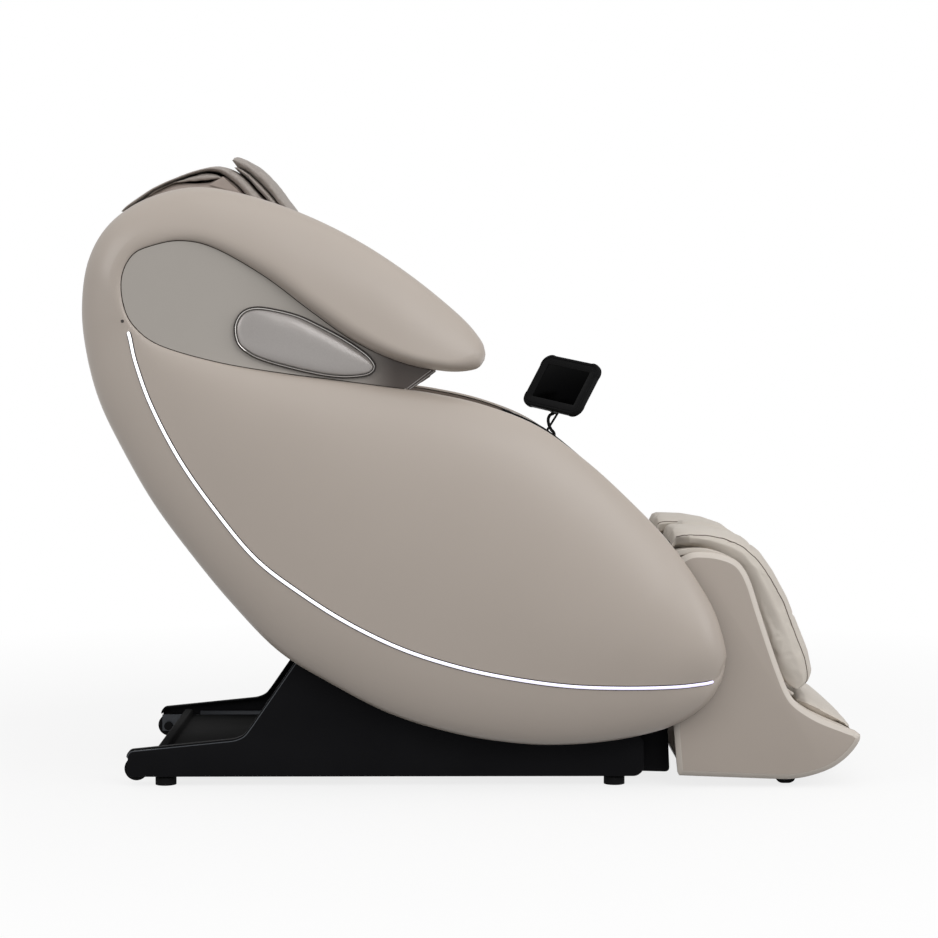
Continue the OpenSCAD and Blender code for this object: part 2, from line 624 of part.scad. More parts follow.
shoulder_s = 6;                             // path stations where the back is as wide as the panels
module back_cushion() {
    path = smooth(back_path, 2);
    under = sideways(path, -back_t);
    n = len(path);
    color(hide) loft([for (i = [0:n - 1])
        let(f = path[i], b = under[i], lift = clamp01((f[1] - 800)/60),
            half = mix(seat_half, arm_out, lift), end = i == 0 || i == n - 1 ? 0 : 1,
            wing = 60*clamp01((f[1] - 820)/80)*clamp01((1130 - f[1])/80))
        concat(
            [for (k = [-6:6]) let(u = k/6, a = abs(u),
                    d = (a > 0.65 ? wing*sin(180*(a - 0.65)/0.5) : 0) - (a == 1 ? 12 : 0)
                        + 10*end*(1 - u*u) - 10 - (k == 0 ? 4 : 0))
                at_y(f + unit(f - b)*d, u*half)],
            [for (u = [1, 0.9, 0, -0.9, -1])
                at_y(a_side(u) ? mix(f, b, 0.8) : b, u*(half - (a_side(u) ? 0 : 6)))])]);
}
function a_side(u) = abs(u) == 1;

module arm_pad() {
    path = smooth(arm_path, 2);
    n = len(path);
    c = arm_middle;
    w = (arm_out - arm_in)/2;
    base = smooth([[-100, 700], [-30, 640], [20, 560], [60, 470], [120, 420], [200, 420], [300, 462]], 2);
    loft([for (i = [0:n - 1]) let(p = path[i], q = base[i], v = unit(p - q))
        concat(
            [for (a = [180:-30:0]) at_y(p - v*(12 - 12*sin(a)), -(c - w*cos(a)))],
            [at_y(q, -(c - w + 2)), at_y(q, -(c + w - 2))])]);
}
module arm_pad_right() { color(hide) arm_pad(); }
module arm_pad_left() { color(hide) left_of() arm_pad(); }

module rear_cover() {
    path = sideways([for (i = [16:38]) outer_edge[i]], 14);
    color(taupe) {
        slab(-panel_in + seat_gap, panel_in - seat_gap) polygon(band([for (i = [0:20]) path[i]], 0, cover_t));
        slab(-250, 250) polygon(band([for (i = [19:22]) path[i]], 0, cover_t));
    }
}

module track_rails() {
    color("#c8ccd0") for (y = [-rail_gauge/2, rail_gauge/2])
        along_back(-100, -rail_h) translate([0, y, 0]) cylinder(d=rail_d, h=580);
}
rail_h = 165;
module along_back(s, h) {
    p = on_back(s, h);
    translate([p[0], 0, p[1]]) rotate([0, atan2(back_along[0], back_along[1]), 0]) children();
}

// ---- Head flap and pillow

module head_flap() {
    top = smooth(flap_path, 2);
    n = len(top);
    low = even(concat(flap_low, [for (p = sideways(smooth(back_path, 2), seat_gap + 0.3)) if (p[1] < 1190 && p[1] > 1012) p]), n - 1);
    h = flap_w/2;
    color(hide) loft([for (i = [0:n - 1]) let(f = top[i], b = low[i])
        concat(
            [for (k = [-3:3]) at_y(mix(b, f, abs(k) == 3 ? 0.65 : 1), k/3*h)],
            [for (k = [3, 1, -1, -3]) at_y(mix(b, f, abs(k) == 3 ? 0.2 : 0), k/3*h)])]);
}
module head_pillow() {
    top = smooth(pillow_path, 2);
    low = even([for (p = sideways(smooth(flap_path, 2), 0.5)) if (p[0] > -492 && p[0] < -318) p], len(top) - 1);
    n = len(top);
    h = pillow_w/2;
    color(hide) loft([for (i = [0:n - 1])
        let(f = top[i], b = low[i], end = i == 0 || i == n - 1 ? 0.35 : 1)
        concat(
            [for (k = [-4:4]) let(u = k/4) at_y(mix(b, f, end*(1 - 0.5*pow(abs(u), 4)) + (1 - end)*0.5), u*h)],
            [for (u = [0.75, 0, -0.75]) at_y(mix(b, f, 0.3*(1 - end)), u*h)])]);
}

// ---- Control panel and tablet, on the left arm

module control_panel() {
    color("#3c3a3a") difference() {
        slab(arm_in + 2, arm_out) polygon(concat(panel_line, reversed(
            [for (p = sideways(smooth(arm_path, 2), seat_gap)) if (p[0] > 60 && p[0] < 270) p])));
        for (s = button_spots) on_panel(s) translate([0, 0, -10]) cylinder(d=button_d + 2*seat_gap, h=20);
        translate(stalk_route[0] - [0, 0, seat_gap]) cylinder(d=stalk_d + 2*seat_gap, h=60);
        translate(lead_route[0] - [0, 0, seat_gap]) cylinder(d=lead_d + 2*seat_gap, h=60);
    }
}
button_d = 14;
button_spots = [28, 62];
module on_panel(s) {
    v = unit(panel_line[1] - panel_line[0]);
    p = panel_line[0] + s*v;
    translate([p[0], arm_middle, p[1]]) rotate([0, -atan2(v[1], v[0]), 0]) children();
}
module button(s) {
    on_panel(s) translate([0, 0, -8]) cylinder(d=button_d, h=10);
}
module power_button() { color("#d8d8d8") button(button_spots[0]); }
module tilt_button() { color("#d8d8d8") button(button_spots[1]); }

module tablet_stalk() {
    color(black) {
        rods(stalk_route, stalk_d);
        translate([pin_at[0], pin_at[1], collar_z - seat_gap - 5]) cylinder(d=stalk_d + 4, h=5);
    }
}
module tablet_lead() {
    color(black) tube(smooth(lead_route, 2), lead_d, 10);
}
module tablet_place() {
    translate(tablet_centre) rotate([0, 0, tablet_turn]) rotate([0, tablet_lean, 0]) rotate([0, 0, tablet_roll])
        children();
}
function turned(v, a) = [v[0]*cos(a) - v[1]*sin(a), v[0]*sin(a) + v[1]*cos(a), v[2]];
function leaned(v, a) = [v[0]*cos(a) + v[2]*sin(a), v[1], v[2]*cos(a) - v[0]*sin(a)];
module along_pin(d, half) {
    tablet_place() translate(tablet_pin) rotate([0, 90, 0]) translate([0, 0, -half]) cylinder(d=d, h=2*half);
}
module tablet_mount() {
    color(black) difference() {
        union() {
            translate([pin_at[0], pin_at[1], collar_z]) cylinder(d=16, h=6);
            translate([pin_at[0], pin_at[1], collar_z]) cylinder(d=8, h=pin_at[2] - collar_z);
            along_pin(12, 6);
        }
        along_pin(5 + 2*run_gap, 8);
    }
}
module rounded(w, h, r) { offset(r=r) square([w - 2*r, h - 2*r], center=true); }
module tablet_case() {
    color(black) tablet_place() difference() {
        translate([0, 0, -tablet_t]) linear_extrude(tablet_t) rounded(tablet_w, tablet_h, 16);
        translate([0, 0, -3]) linear_extrude(5) rounded(tablet_w - 14, tablet_h - 14, 8);
    }
    // the two ears that hold the tilt pin
    color(black) along_pin(5, 9);
    color(black) tablet_place() for (x = [-10, 6 + seat_gap]) translate(tablet_pin + [x, 0, 0])
        rotate([90, 0, 90]) linear_extrude(4 - seat_gap) strap([0, 0], [0, -tablet_pin[2] - tablet_t + 1], 11);
}
module tablet_glass() {
    color("#101012") tablet_place() translate([0, 0, -3 + seat_gap]) linear_extrude(2)
        rounded(tablet_w - 14 - 2*seat_gap, tablet_h - 14 - 2*seat_gap, 8);
}

// ---- Roller carriage, knead arms and rollers

arm_y = 62;
arm_h = 37 - rail_h;                        // the arms turn this far from the back's face
roller_s = 60;
roller_h = arm_h + 8;
module roller_carriage() {
    color(steel) difference() {
        union() {
            along_back(0, -rail_h) translate([-14, -rail_gauge/2 - 22, -50]) cube([28, rail_gauge + 44, 100]);
            for (y = [-100, -9, 82]) slab(y, y + 18) strap(on_back(0, arm_h), on_back(0, -rail_h), 34);
            along_back(0, -rail_h) translate([-66, -60, -45]) cube([60, 120, 90]);
            bar(on_back(0, arm_h)[0], on_back(0, arm_h)[1], 14, -99, 99);
            both_sides() for (y = [[-83, -arm_y - 8 - seat_gap], [-arm_y + 8 + seat_gap, -8]])
                bar(on_back(0, arm_h)[0], on_back(0, arm_h)[1], 22, y[0], y[1]);
        }
        for (y = [-rail_gauge/2, rail_gauge/2]) along_back(0, -rail_h) translate([0, y, -60])
            cylinder(d=rail_d + 2*run_gap, h=120);
    }
}
module knead_arm() {
    y = -arm_y;
    color("#303034") {
        difference() {
            slab(y - 8, y + 8) {
                strap(on_back(0, arm_h), on_back(roller_s, roller_h), 24);
                strap(on_back(0, arm_h), on_back(-roller_s, roller_h), 24);
                translate(on_back(0, arm_h)) circle(d=36);
            }
            slab(y - 20, y + 20) translate(on_back(0, arm_h)) circle(d=14 + 2*run_gap);
        }
        for (s = [-roller_s, roller_s]) {
            p = on_back(s, roller_h);
            bar(p[0], p[1], 10, y + 7, y + 8 + roller_w + 6);
        }
    }
}
module roller(s) {
    y = -arm_y;
    p = on_back(s, roller_h);
    bore = 10/2 + run_gap;
    color("#4a4440") translate([p[0], y + 10 + roller_w, p[1]]) rotate([90, 0, 0]) rotate_extrude()
        polygon([[bore, 0], [bore + 8, 0], [roller_d/2 - 3, 4], [roller_d/2, roller_w/2],
            [roller_d/2 - 3, roller_w - 4], [bore + 8, roller_w], [bore, roller_w]]);
}
module knead_arm_right() { knead_arm(); }
module knead_arm_left() { left_of() knead_arm(); }
module roller_upper_right() { roller(roller_s); }
module roller_lower_right() { roller(-roller_s); }
module roller_upper_left() { left_of() roller(roller_s); }
module roller_lower_left() { left_of() roller(-roller_s); }

// ---- Knee, leg frame and ottoman

module knee_motor() {
    color("#303034") difference() {
        union() {
            slab(-40, 40) translate(knee) circle(d=42);
            translate([knee[0] - 30, -34, knee[1] - 110]) cube([34, 68, 100]);
            translate([knee_tube[0] - 14, -30, knee_tube[1] - 17]) cube([40, 60, 31]);
        }
        bar(knee[0], knee[1], pin_d + 2*run_gap, -42, 42);
        bar(knee_tube[0], knee_tube[1], 24 + 2*run_gap, -42, 42);
    }
}
module knee_shaft() {
    color("#c8ccd0") bar(knee[0], knee[1], pin_d, -frame_y - plate_t - 1, frame_y + plate_t + 1);
}
slide_top = knee + 60*calf_along + [26, 0];
slide_bottom = knee + 330*calf_along + [26, 0];
module leg_frame() {
    color(steel) {
        both_sides() slab(-leg_y, -leg_y - plate_t) difference() {
            union() {
                strap(knee, slide_top, 34);
                strap(slide_top, slide_bottom, 34);
            }
            translate(knee) circle(d=pin_d + 2*run_gap);
        }
        bar(slide_bottom[0], slide_bottom[1], 20, -leg_y - 1, leg_y + 1);
    }
}
module ottoman_side() { polygon(concat(smooth(ottoman_top, 2), ottoman_low)); }
board_top = sideways(pad_back, -seat_gap);
board_low = sideways(pad_back, -5 - seat_gap);
module ottoman_shell() {
    y1 = ottoman_half;
    color(grey_taupe) {
        both_sides() {
            slab(-y1, -y1 + ottoman_wall - 6) ottoman_side();
            // the rim that turns inwards round the front edge
            slab(-y1 + 1, -y1 + ottoman_wall) polygon(band(smooth(ottoman_top, 2), 0, -12));
        }
        // floor between the two sides
        slab(-y1 + 2, y1 - 2) polygon(concat(smooth([[758, 96], [748, 74], [730, 56], [706, 40], [673, 27],
            [633, 19], [584, 19], [414, 28]], 1), [[414, 34], [584, 25], [633, 25], [670, 33], [700, 45], [724, 60], [741, 77], [750, 96]]));
        // boards that the pads lie on
        slab(-pad_out, pad_out) polygon(concat(board_top, reversed(board_low)));
        both_sides() slab(-y1 + 2, -pad_out) polygon(concat(
            [for (i = [6:13]) board_top[i]], [for (i = [13:-1:6]) board_low[i]]));
        slab(-y1 + 2, y1 - 2) polygon(band(foot_back, -seat_gap, -5 - seat_gap));
        both_sides() slab(-y1 + ottoman_wall - 7, -slide_y + slide_t) strap(slide_top, slide_bottom + [10, -60], 26);
        bar(slide_bottom[0] + 70, slide_bottom[1] - 60, 20, -y1 + 2, y1 - 2);
        both_sides() slab(-y1 + 40, -y1 + 90) polygon([[598, 21], [604, 6], [612, 2], [630, 2], [638, 6], [644, 21]]);
    }
}
module leg_pad(face, back, y0, y1) {
    f = smooth(face, 1);
    b = smooth(back, 1);
    n = len(f);
    c = (y0 + y1)/2;
    h = (y1 - y0)/2;
    loft([for (i = [0:n - 1]) let(end = i == 0 || i == n - 1 ? 0.5 : 1)
        concat(
            [for (k = [-4:4]) let(u = k/4) at_y(mix(b[i], f[i], end*(1 - 0.42*pow(abs(u), 3))), c + u*h)],
            [for (u = [0.9, -0.9]) at_y(b[i], c + u*h)])]);
}
pad_in = 60;
pad_out = leg_y - 1;
module leg_pad_right() { color(hide) leg_pad(pad_face, pad_back, -pad_out, -pad_in); }
module leg_pad_left() { color(hide) leg_pad(pad_face, pad_back, pad_in, pad_out); }
module leg_pad_centre() { color(hide) leg_pad(centre_face, centre_back, -pad_in + 2, pad_in - 2); }
module foot_pad() { color(hide) leg_pad(foot_face, foot_back, -pad_out, pad_out); }

base_frame();
base_cover_right();
base_cover_left();
base_tray();
front_cover();
rubber_feet();
wheel_axles();
transport_wheel_right();
transport_wheel_left();
power_box();
power_inlet();
power_switch();
pivot_pins();
tilt_motor();
tilt_rod();
seat_frame();
side_shell_right();
side_shell_left();
recess_panel_right();
recess_panel_left();
pod_bezel_right();
pod_bezel_left();
pod_cover_right();
pod_cover_left();
light_strip_right();
light_strip_left();
inner_panel_right();
inner_panel_left();
arm_pad_right();
arm_pad_left();
rear_cover();
track_rails();
back_cushion();
seat_cushion();
head_flap();
head_pillow();
control_panel();
power_button();
tilt_button();
tablet_stalk();
tablet_lead();
tablet_mount();
tablet_case();
tablet_glass();
roller_carriage();
knead_arm_right();
knead_arm_left();
roller_upper_right();
roller_lower_right();
roller_upper_left();
roller_lower_left();
knee_motor();
knee_shaft();
leg_frame();
ottoman_shell();
leg_pad_right();
leg_pad_left();
leg_pad_centre();
foot_pad();
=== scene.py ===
import math

import bmesh
import bpy
from mathutils import Matrix, Vector, kdtree, noise
from mathutils.bvhtree import BVHTree


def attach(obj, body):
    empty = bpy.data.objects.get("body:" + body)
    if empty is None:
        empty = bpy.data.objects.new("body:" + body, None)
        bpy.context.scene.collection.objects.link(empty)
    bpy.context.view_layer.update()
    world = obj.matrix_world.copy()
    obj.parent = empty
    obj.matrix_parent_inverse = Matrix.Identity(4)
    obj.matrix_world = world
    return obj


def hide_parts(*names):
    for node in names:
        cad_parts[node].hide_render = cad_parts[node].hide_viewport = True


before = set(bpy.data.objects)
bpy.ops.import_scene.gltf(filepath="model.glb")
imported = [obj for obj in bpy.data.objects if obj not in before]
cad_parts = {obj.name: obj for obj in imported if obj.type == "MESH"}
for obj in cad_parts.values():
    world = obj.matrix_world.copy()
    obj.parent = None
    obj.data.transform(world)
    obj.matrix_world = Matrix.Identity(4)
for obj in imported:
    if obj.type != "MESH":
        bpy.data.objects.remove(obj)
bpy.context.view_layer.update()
scene = bpy.context.scene
mm = 0.001  # every shape below is drawn in millimetres
print("frame loaded:", len(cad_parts), "nodes")

# ---- camera: standing height of a product table, square on to the chair's right side
eye = {"at": (-0.0553, -4.8, 0.8629), "down": 2.9125, "turn": -0.5277, "lens": 87.5}
cameraData = bpy.data.cameras.new("camera")
cameraData.lens = eye["lens"]
camera = bpy.data.objects.new("camera", cameraData)
camera.location = eye["at"]
camera.rotation_euler = (math.radians(90 - eye["down"]), 0, math.radians(eye["turn"]))
scene.collection.objects.link(camera)
scene.camera = camera


# ---- small helpers: curves

def clamp(value):
    return max(0.0, min(1.0, value))


def mix(a, b, t):
    return a + (b - a) * t


def mixPoints(p, q, t):
    return tuple(a + (b - a) * t for a, b in zip(p, q))


def curvePoint(a, b, c, d, t):  # Catmull-Rom
    return tuple(0.5 * (2 * q + (r - p) * t + (2 * p - 5 * q + 4 * r - s) * t * t
                        + (3 * q - p - 3 * r + s) * t ** 3) for p, q, r, s in zip(a, b, c, d))


def smoothLine(points, steps):
    last = len(points) - 1
    line = [curvePoint(points[max(i - 1, 0)], points[i], points[i + 1], points[min(i + 2, last)], s / steps)
            for i in range(last) for s in range(steps)]
    return line + [tuple(points[-1])]


def smoothRing(points, steps):
    count = len(points)
    return [curvePoint(points[i - 1], points[i], points[(i + 1) % count], points[(i + 2) % count], s / steps)
            for i in range(count) for s in range(steps)]


def pointsAt(points, places):  # the line's points at these distances along it
    reach = [0.0]
    for a, b in zip(points, points[1:]):
        reach.append(reach[-1] + math.dist(a[:3], b[:3]))
    line, k = [], 0
    for place in places:
        while k < len(points) - 2 and reach[k + 1] < place:
            k += 1
        t = clamp((place - reach[k]) / max(reach[k + 1] - reach[k], 1e-9))
        line.append(mixPoints(points[k], points[k + 1], t))
    return line


def lineLength(points):
    return sum(math.dist(a[:3], b[:3]) for a, b in zip(points, points[1:]))


def evenLine(points, count):
    whole = lineLength(points)
    return pointsAt(points, [whole * i / count for i in range(count + 1)])


def sideways(points, distance, ring=False):  # a flat line moved to its left
    count, moved = len(points), []
    for i, p in enumerate(points):
        a = points[i - 1] if ring or i > 0 else p
        b = points[(i + 1) % count] if ring or i < count - 1 else p
        run = max(math.dist(a, b), 1e-9)
        moved.append((p[0] - distance * (b[1] - a[1]) / run, p[1] + distance * (b[0] - a[0]) / run))
    return moved


def roundedCorners(outline, radius, steps=5):  # a closed outline with every corner rounded
    count, line = len(outline), []
    for i, corner in enumerate(outline):
        before, after = outline[i - 1], outline[(i + 1) % count]
        cut = min(radius, 0.45 * math.dist(before, corner), 0.45 * math.dist(after, corner))
        a = mixPoints(corner, before, cut / max(math.dist(before, corner), 1e-9))
        b = mixPoints(corner, after, cut / max(math.dist(after, corner), 1e-9))
        line += [mixPoints(mixPoints(a, corner, s / steps), mixPoints(corner, b, s / steps), s / steps)
                 for s in range(steps + 1)]
    return line


def roundedBox(width, height, radius):  # a rectangle round the origin with arcs at its corners
    line, steps = [], 8
    for k, (sx, sy) in enumerate([(1, 1), (-1, 1), (-1, -1), (1, -1)]):
        for s in range(steps + 1):
            a = math.radians(90 * k + 90 * s / steps)
            line.append((sx * (width / 2 - radius) + radius * math.cos(a),
                         sy * (height / 2 - radius) + radius * math.sin(a)))
    return line


# ---- small helpers: meshes

def newPiece(name, points, faces, finish, mirror=False, sharp=None):
    if mirror:
        points = [(x, -y, z) for x, y, z in points]
    mesh = bpy.data.meshes.new(name)
    mesh.from_pydata([[c * mm for c in p] for p in points], [], faces)
    work = bmesh.new()
    work.from_mesh(mesh)
    bmesh.ops.remove_doubles(work, verts=work.verts, dist=0.02 * mm)
    bmesh.ops.recalc_face_normals(work, faces=work.faces)
    work.to_mesh(mesh)
    work.free()
    mesh.polygons.foreach_set("use_smooth", [True] * len(mesh.polygons))
    if sharp:
        mesh.set_sharp_from_angle(angle=math.radians(sharp))
    mesh.materials.append(finishes[finish])
    piece = bpy.data.objects.new(name, mesh)
    scene.collection.objects.link(piece)
    return piece


def applyModifiers(piece):
    bpy.context.view_layer.update()
    shaped = piece.evaluated_get(bpy.context.evaluated_depsgraph_get())
    mesh = bpy.data.meshes.new_from_object(shaped)
    piece.modifiers.clear()
    old, piece.data = piece.data, mesh
    bpy.data.meshes.remove(old)


def modify(piece, kind, **settings):
    modifier = piece.modifiers.new(kind.title(), kind)
    for name, value in settings.items():
        setattr(modifier, name, value)


def roundEdges(piece, width):
    modify(piece, "BEVEL", width=width * mm, segments=2, limit_method="ANGLE", angle_limit=math.radians(35),
           harden_normals=False)
    applyModifiers(piece)
    piece.data.polygons.foreach_set("use_smooth", [True] * len(piece.data.polygons))
    piece.data.set_sharp_from_angle(angle=math.radians(50))
    return piece


def skinFaces(rows, columns, ring=True, start=0):  # quads over a grid of rows; a ring closes each row
    faces, wide = [], columns if ring else columns - 1
    for i in range(rows - 1):
        for j in range(wide):
            k = (j + 1) % columns
            faces.append((start + i * columns + j, start + i * columns + k,
                          start + (i + 1) * columns + k, start + (i + 1) * columns + j))
    return faces


def loftPiece(name, rows, finish, mirror=False, sharp=None, ends=True):  # a skin over rings of points
    points = [p for row in rows for p in row]
    columns = len(rows[0])
    faces = skinFaces(len(rows), columns)
    if ends:
        faces += [tuple(range(columns)), tuple(len(points) - columns + j for j in range(columns))]
    return newPiece(name, points, faces, finish, mirror, sharp)


def wallPiece(name, outer, inner, finish, mirror=False, sharp=None):  # a thin wall between two grids
    rows, columns = len(outer), len(outer[0])
    size = rows * columns
    points = [p for grid in (outer, inner) for row in grid for p in row]
    faces = skinFaces(rows, columns, False) + skinFaces(rows, columns, False, size)
    for i in range(rows - 1):
        for j in (0, columns - 1):
            a = i * columns + j
            faces.append((a, a + columns, size + a + columns, size + a))
    for j in range(columns - 1):
        for i in (0, rows - 1):
            a = i * columns + j
            faces.append((a, a + 1, size + a + 1, size + a))
    return newPiece(name, points, faces, finish, mirror, sharp)


def platePiece(name, outline, y0, y1, finish, mirror=False, edge=1.0):  # a flat shape in X and Z, y0 to y1
    rows = [[(x, y, z) for x, z in outline] for y in (y0, y1)]
    return roundEdges(loftPiece(name, rows, finish, mirror, 35), edge)


def tubeRows(route, radius, around, taper=None):  # rings swept along a line without twist
    rows, up = [], None
    for i, p in enumerate(route):
        ahead = (Vector(route[min(i + 1, len(route) - 1)]) - Vector(route[max(i - 1, 0)])).normalized()
        if up is None:
            up = ahead.orthogonal().normalized()
        up = (up - ahead * up.dot(ahead)).normalized()
        side = ahead.cross(up)
        r = radius * (taper[i] if taper else 1)
        rows.append([tuple(Vector(p) + r * (math.cos(a) * up + math.sin(a) * side))
                     for a in (2 * math.pi * k / around for k in range(around))])
    return rows


def fit(piece, body, slotName, *nodes):
    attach(piece, body)
    if nodes:
        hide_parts(*nodes)
    return piece


sides = (("right", False), ("left", True))  # everything is drawn for the right side, at -Y


# ---- materials

def linear(hexCode):
    parts = [int(hexCode[k:k + 2], 16) / 255 for k in (1, 3, 5)]
    return [p / 12.92 if p <= 0.04045 else ((p + 0.055) / 1.055) ** 2.4 for p in parts] + [1.0]


def addNode(material, kind, settings, links):
    node = material.node_tree.nodes.new(kind)
    for name, value in settings.items():
        if isinstance(name, int) or name in node.inputs:
            node.inputs[name].default_value = value
        else:
            setattr(node, name, value)
    for name, source in links.items():
        material.node_tree.links.new(source, node.inputs[name])
    return node


def plug(material, source, socket):
    material.node_tree.links.new(source, socket)


def newMaterial(name, **values):
    material = bpy.data.materials.new(name)
    material.use_nodes = True
    shader = material.node_tree.nodes["Principled BSDF"]
    for socket, value in values.items():
        shader.inputs[socket.replace("_", " ")].default_value = value
    return material, shader


def noiseNode(material, place, size, detail):
    return addNode(material, "ShaderNodeTexNoise", {"Scale": 1 / (size * mm), "Detail": detail},
                   {"Vector": place.outputs["Object"]})


def alongX(material, place, low, high, **settings):  # runs from 0 to 1 between two places along the chair
    split = addNode(material, "ShaderNodeSeparateXYZ", {}, {"Vector": place.outputs["Object"]})
    return addNode(material, "ShaderNodeMapRange", {"From Min": low * mm, "From Max": high * mm, **settings},
                   {"Value": split.outputs["X"]})


def blotchColour(material, shader, first, second, size, detail=3):  # two near colours in soft patches
    place = addNode(material, "ShaderNodeTexCoord", {}, {})
    patches = noiseNode(material, place, size, detail)
    colour = addNode(material, "ShaderNodeMix", {"data_type": "RGBA", 6: linear(first), 7: linear(second)},
                     {0: patches.outputs["Fac"]})
    plug(material, colour.outputs[2], shader.inputs["Base Color"])
    return place, colour


def grainBump(material, shader, place, size, height):  # an even moulded grain
    grain = noiseNode(material, place, size, 2)
    bump = addNode(material, "ShaderNodeBump", {"Distance": height * mm, "Strength": 1.0},
                   {"Height": grain.outputs["Fac"]})
    plug(material, bump.outputs["Normal"], shader.inputs["Normal"])


def roughnessPatches(material, shader, place, low, high, size):
    patches = noiseNode(material, place, size, 4)
    spread = addNode(material, "ShaderNodeMapRange", {"To Min": low, "To Max": high},
                     {"Value": patches.outputs["Fac"]})
    plug(material, spread.outputs["Result"], shader.inputs["Roughness"])


# one dictionary for each painted or moulded finish: two colours, then patch and grain sizes and height in mm
plainFinishes = {
    # lacquered ABS: broad soft highlights, with a trace of orange peel
    "taupeLacquer": {"colours": ("#bbb0a6", "#b6aba1"), "patch": 260, "grain": 2.5, "height": 0.02,
                     "rough": (0.36, 0.42), "Coat_Weight": 0.25, "Coat_Roughness": 0.28},
    # silver metallic paint: a fine sparkle, brighter where it faces the light
    "silverPaint": {"colours": ("#a9a4a1", "#9f9a97"), "patch": 3, "grain": 0.9, "height": 0.012,
                    "rough": (0.36, 0.44), "Metallic": 0.45, "Coat_Weight": 0.4, "Coat_Roughness": 0.12},
    # the cabin's lacquered ABS drawn one tone darker: painted shade on the ottoman's sides and floor
    "shadedOttomanLacquer": {"colours": ("#b5aaa0", "#afa49a"), "patch": 240, "grain": 2.5, "height": 0.02,
                       "rough": (0.38, 0.44), "Coat_Weight": 0.2, "Coat_Roughness": 0.3},
    # the same lacquer drawn lighter on the slanted band round the edge: a painted highlight
    "highlightRimLacquer": {"colours": ("#d3cac0", "#ccc3b9"), "patch": 120, "grain": 2.5, "height": 0.02,
                   "rough": (0.34, 0.42), "Coat_Weight": 0.25, "Coat_Roughness": 0.28},
    # dark chrome plating on ABS: near-black with sharp reflections; round the pod it is painted shade under
    # the bezel's skirt
    "darkChromeAndShade": {"colours": ("#4a4644", "#444040"), "patch": 60, "grain": 4, "height": 0.004,
                   "rough": (0.16, 0.22), "Metallic": 1.0},
    # bright chrome plating: picks up the whole room
    "brightChrome": {"colours": ("#d8d5d2", "#cfccc9"), "patch": 60, "grain": 4, "height": 0.004,
                     "rough": (0.10, 0.14), "Metallic": 1.0},
    # black ABS with a spark-eroded grain, drawn coarser than real so that it shows
    "blackAbs": {"colours": ("#161618", "#101012"), "patch": 90, "grain": 1.4, "height": 0.10,
                 "rough": (0.50, 0.62), "Specular_IOR_Level": 0.05},
    # black ABS of the low shelf in a coarser grain, its colour drawn darker than the covers' black as painted
    # shade
    "shadedShelfAbs": {"colours": ("#080809", "#060607"), "patch": 90, "grain": 1.8, "height": 0.14,
                 "rough": (0.62, 0.74), "Specular_IOR_Level": 0.03},
    # satin black ABS of small housings: nearly smooth
    "satinAbs": {"colours": ("#161617", "#121213"), "patch": 30, "grain": 0.8, "height": 0.02,
                 "rough": (0.34, 0.44), "Specular_IOR_Level": 0.06},
    # injection-moulded rubber: matt and a little dusty
    "rubber": {"colours": ("#131314", "#1b1b1c"), "patch": 14, "grain": 0.9, "height": 0.08,
               "rough": (0.72, 0.86), "Specular_IOR_Level": 0.08},
    # powder-coated steel: fine pebbled gloss; as a thin tube on the base's top edge it is a painted highlight
    "powderCoatAndHighlight": {"colours": ("#4b4e53", "#45484c"), "patch": 70, "grain": 1.3, "height": 0.08,
                   "rough": (0.42, 0.52), "Specular_IOR_Level": 0.3},
    # drawn and ground steel bar: bright, with faint stains
    "groundSteel": {"colours": ("#b8bbbf", "#a9acb0"), "patch": 25, "grain": 0.8, "height": 0.01,
                    "rough": (0.22, 0.34), "Metallic": 1.0},
    # dark polyurethane of the massage rollers
    "rollerUrethane": {"colours": ("#5a504a", "#4f4641"), "patch": 20, "grain": 1.0, "height": 0.04,
                       "rough": (0.50, 0.62)},
    # glossy red nylon of a rocker switch
    "redNylon": {"colours": ("#a81c1c", "#9c1818"), "patch": 12, "grain": 1.0, "height": 0.01,
                 "rough": (0.24, 0.30), "IOR": 1.53},
    # pale grey push buttons with a satin face
    "greyKey": {"colours": ("#d4d4d2", "#cacac8"), "patch": 10, "grain": 0.6, "height": 0.01,
                "rough": (0.36, 0.44)},
}


def makePlainFinish(name, spec):
    values = {k: v for k, v in spec.items() if k[0].isupper()}
    material, shader = newMaterial(name, **values)
    place, _ = blotchColour(material, shader, *spec["colours"], spec["patch"])
    grainBump(material, shader, place, spec["grain"], spec["height"])
    roughnessPatches(material, shader, place, *spec["rough"], spec["patch"])
    return material


# polyurethane leather: cells of fine creases, drawn at the coarse end of the real range so that they show
leather = {"bend": 0.002, "creaseWide": 0.22, "creaseDeep": 0.7, "foldSize": 28, "foldHeight": 1.2,
           "foldDeep": 0.35, "stains": 12}
leatherFinishes = {
    "creamLeather": {"colours": ("#d5cdc3", "#cbc3b9"), "cell": 1.8, "height": 0.16, "patch": 90,
                     "rough": (0.42, 0.52)},
    "headLeather": {"colours": ("#c0b8b1", "#978f89"), "cell": 3.0, "height": 0.45, "patch": 5,
                    "rough": (0.56, 0.68)},
    "linerLeather": {"colours": ("#6f645c", "#665b54"), "cell": 2.0, "height": 0.16, "patch": 80,
                     "rough": (0.46, 0.56)},
    "foldLeather": {"colours": ("#b5a9a1", "#a89c94"), "cell": 1.8, "height": 0.12, "patch": 30,
                    "rough": (0.48, 0.58)},
}


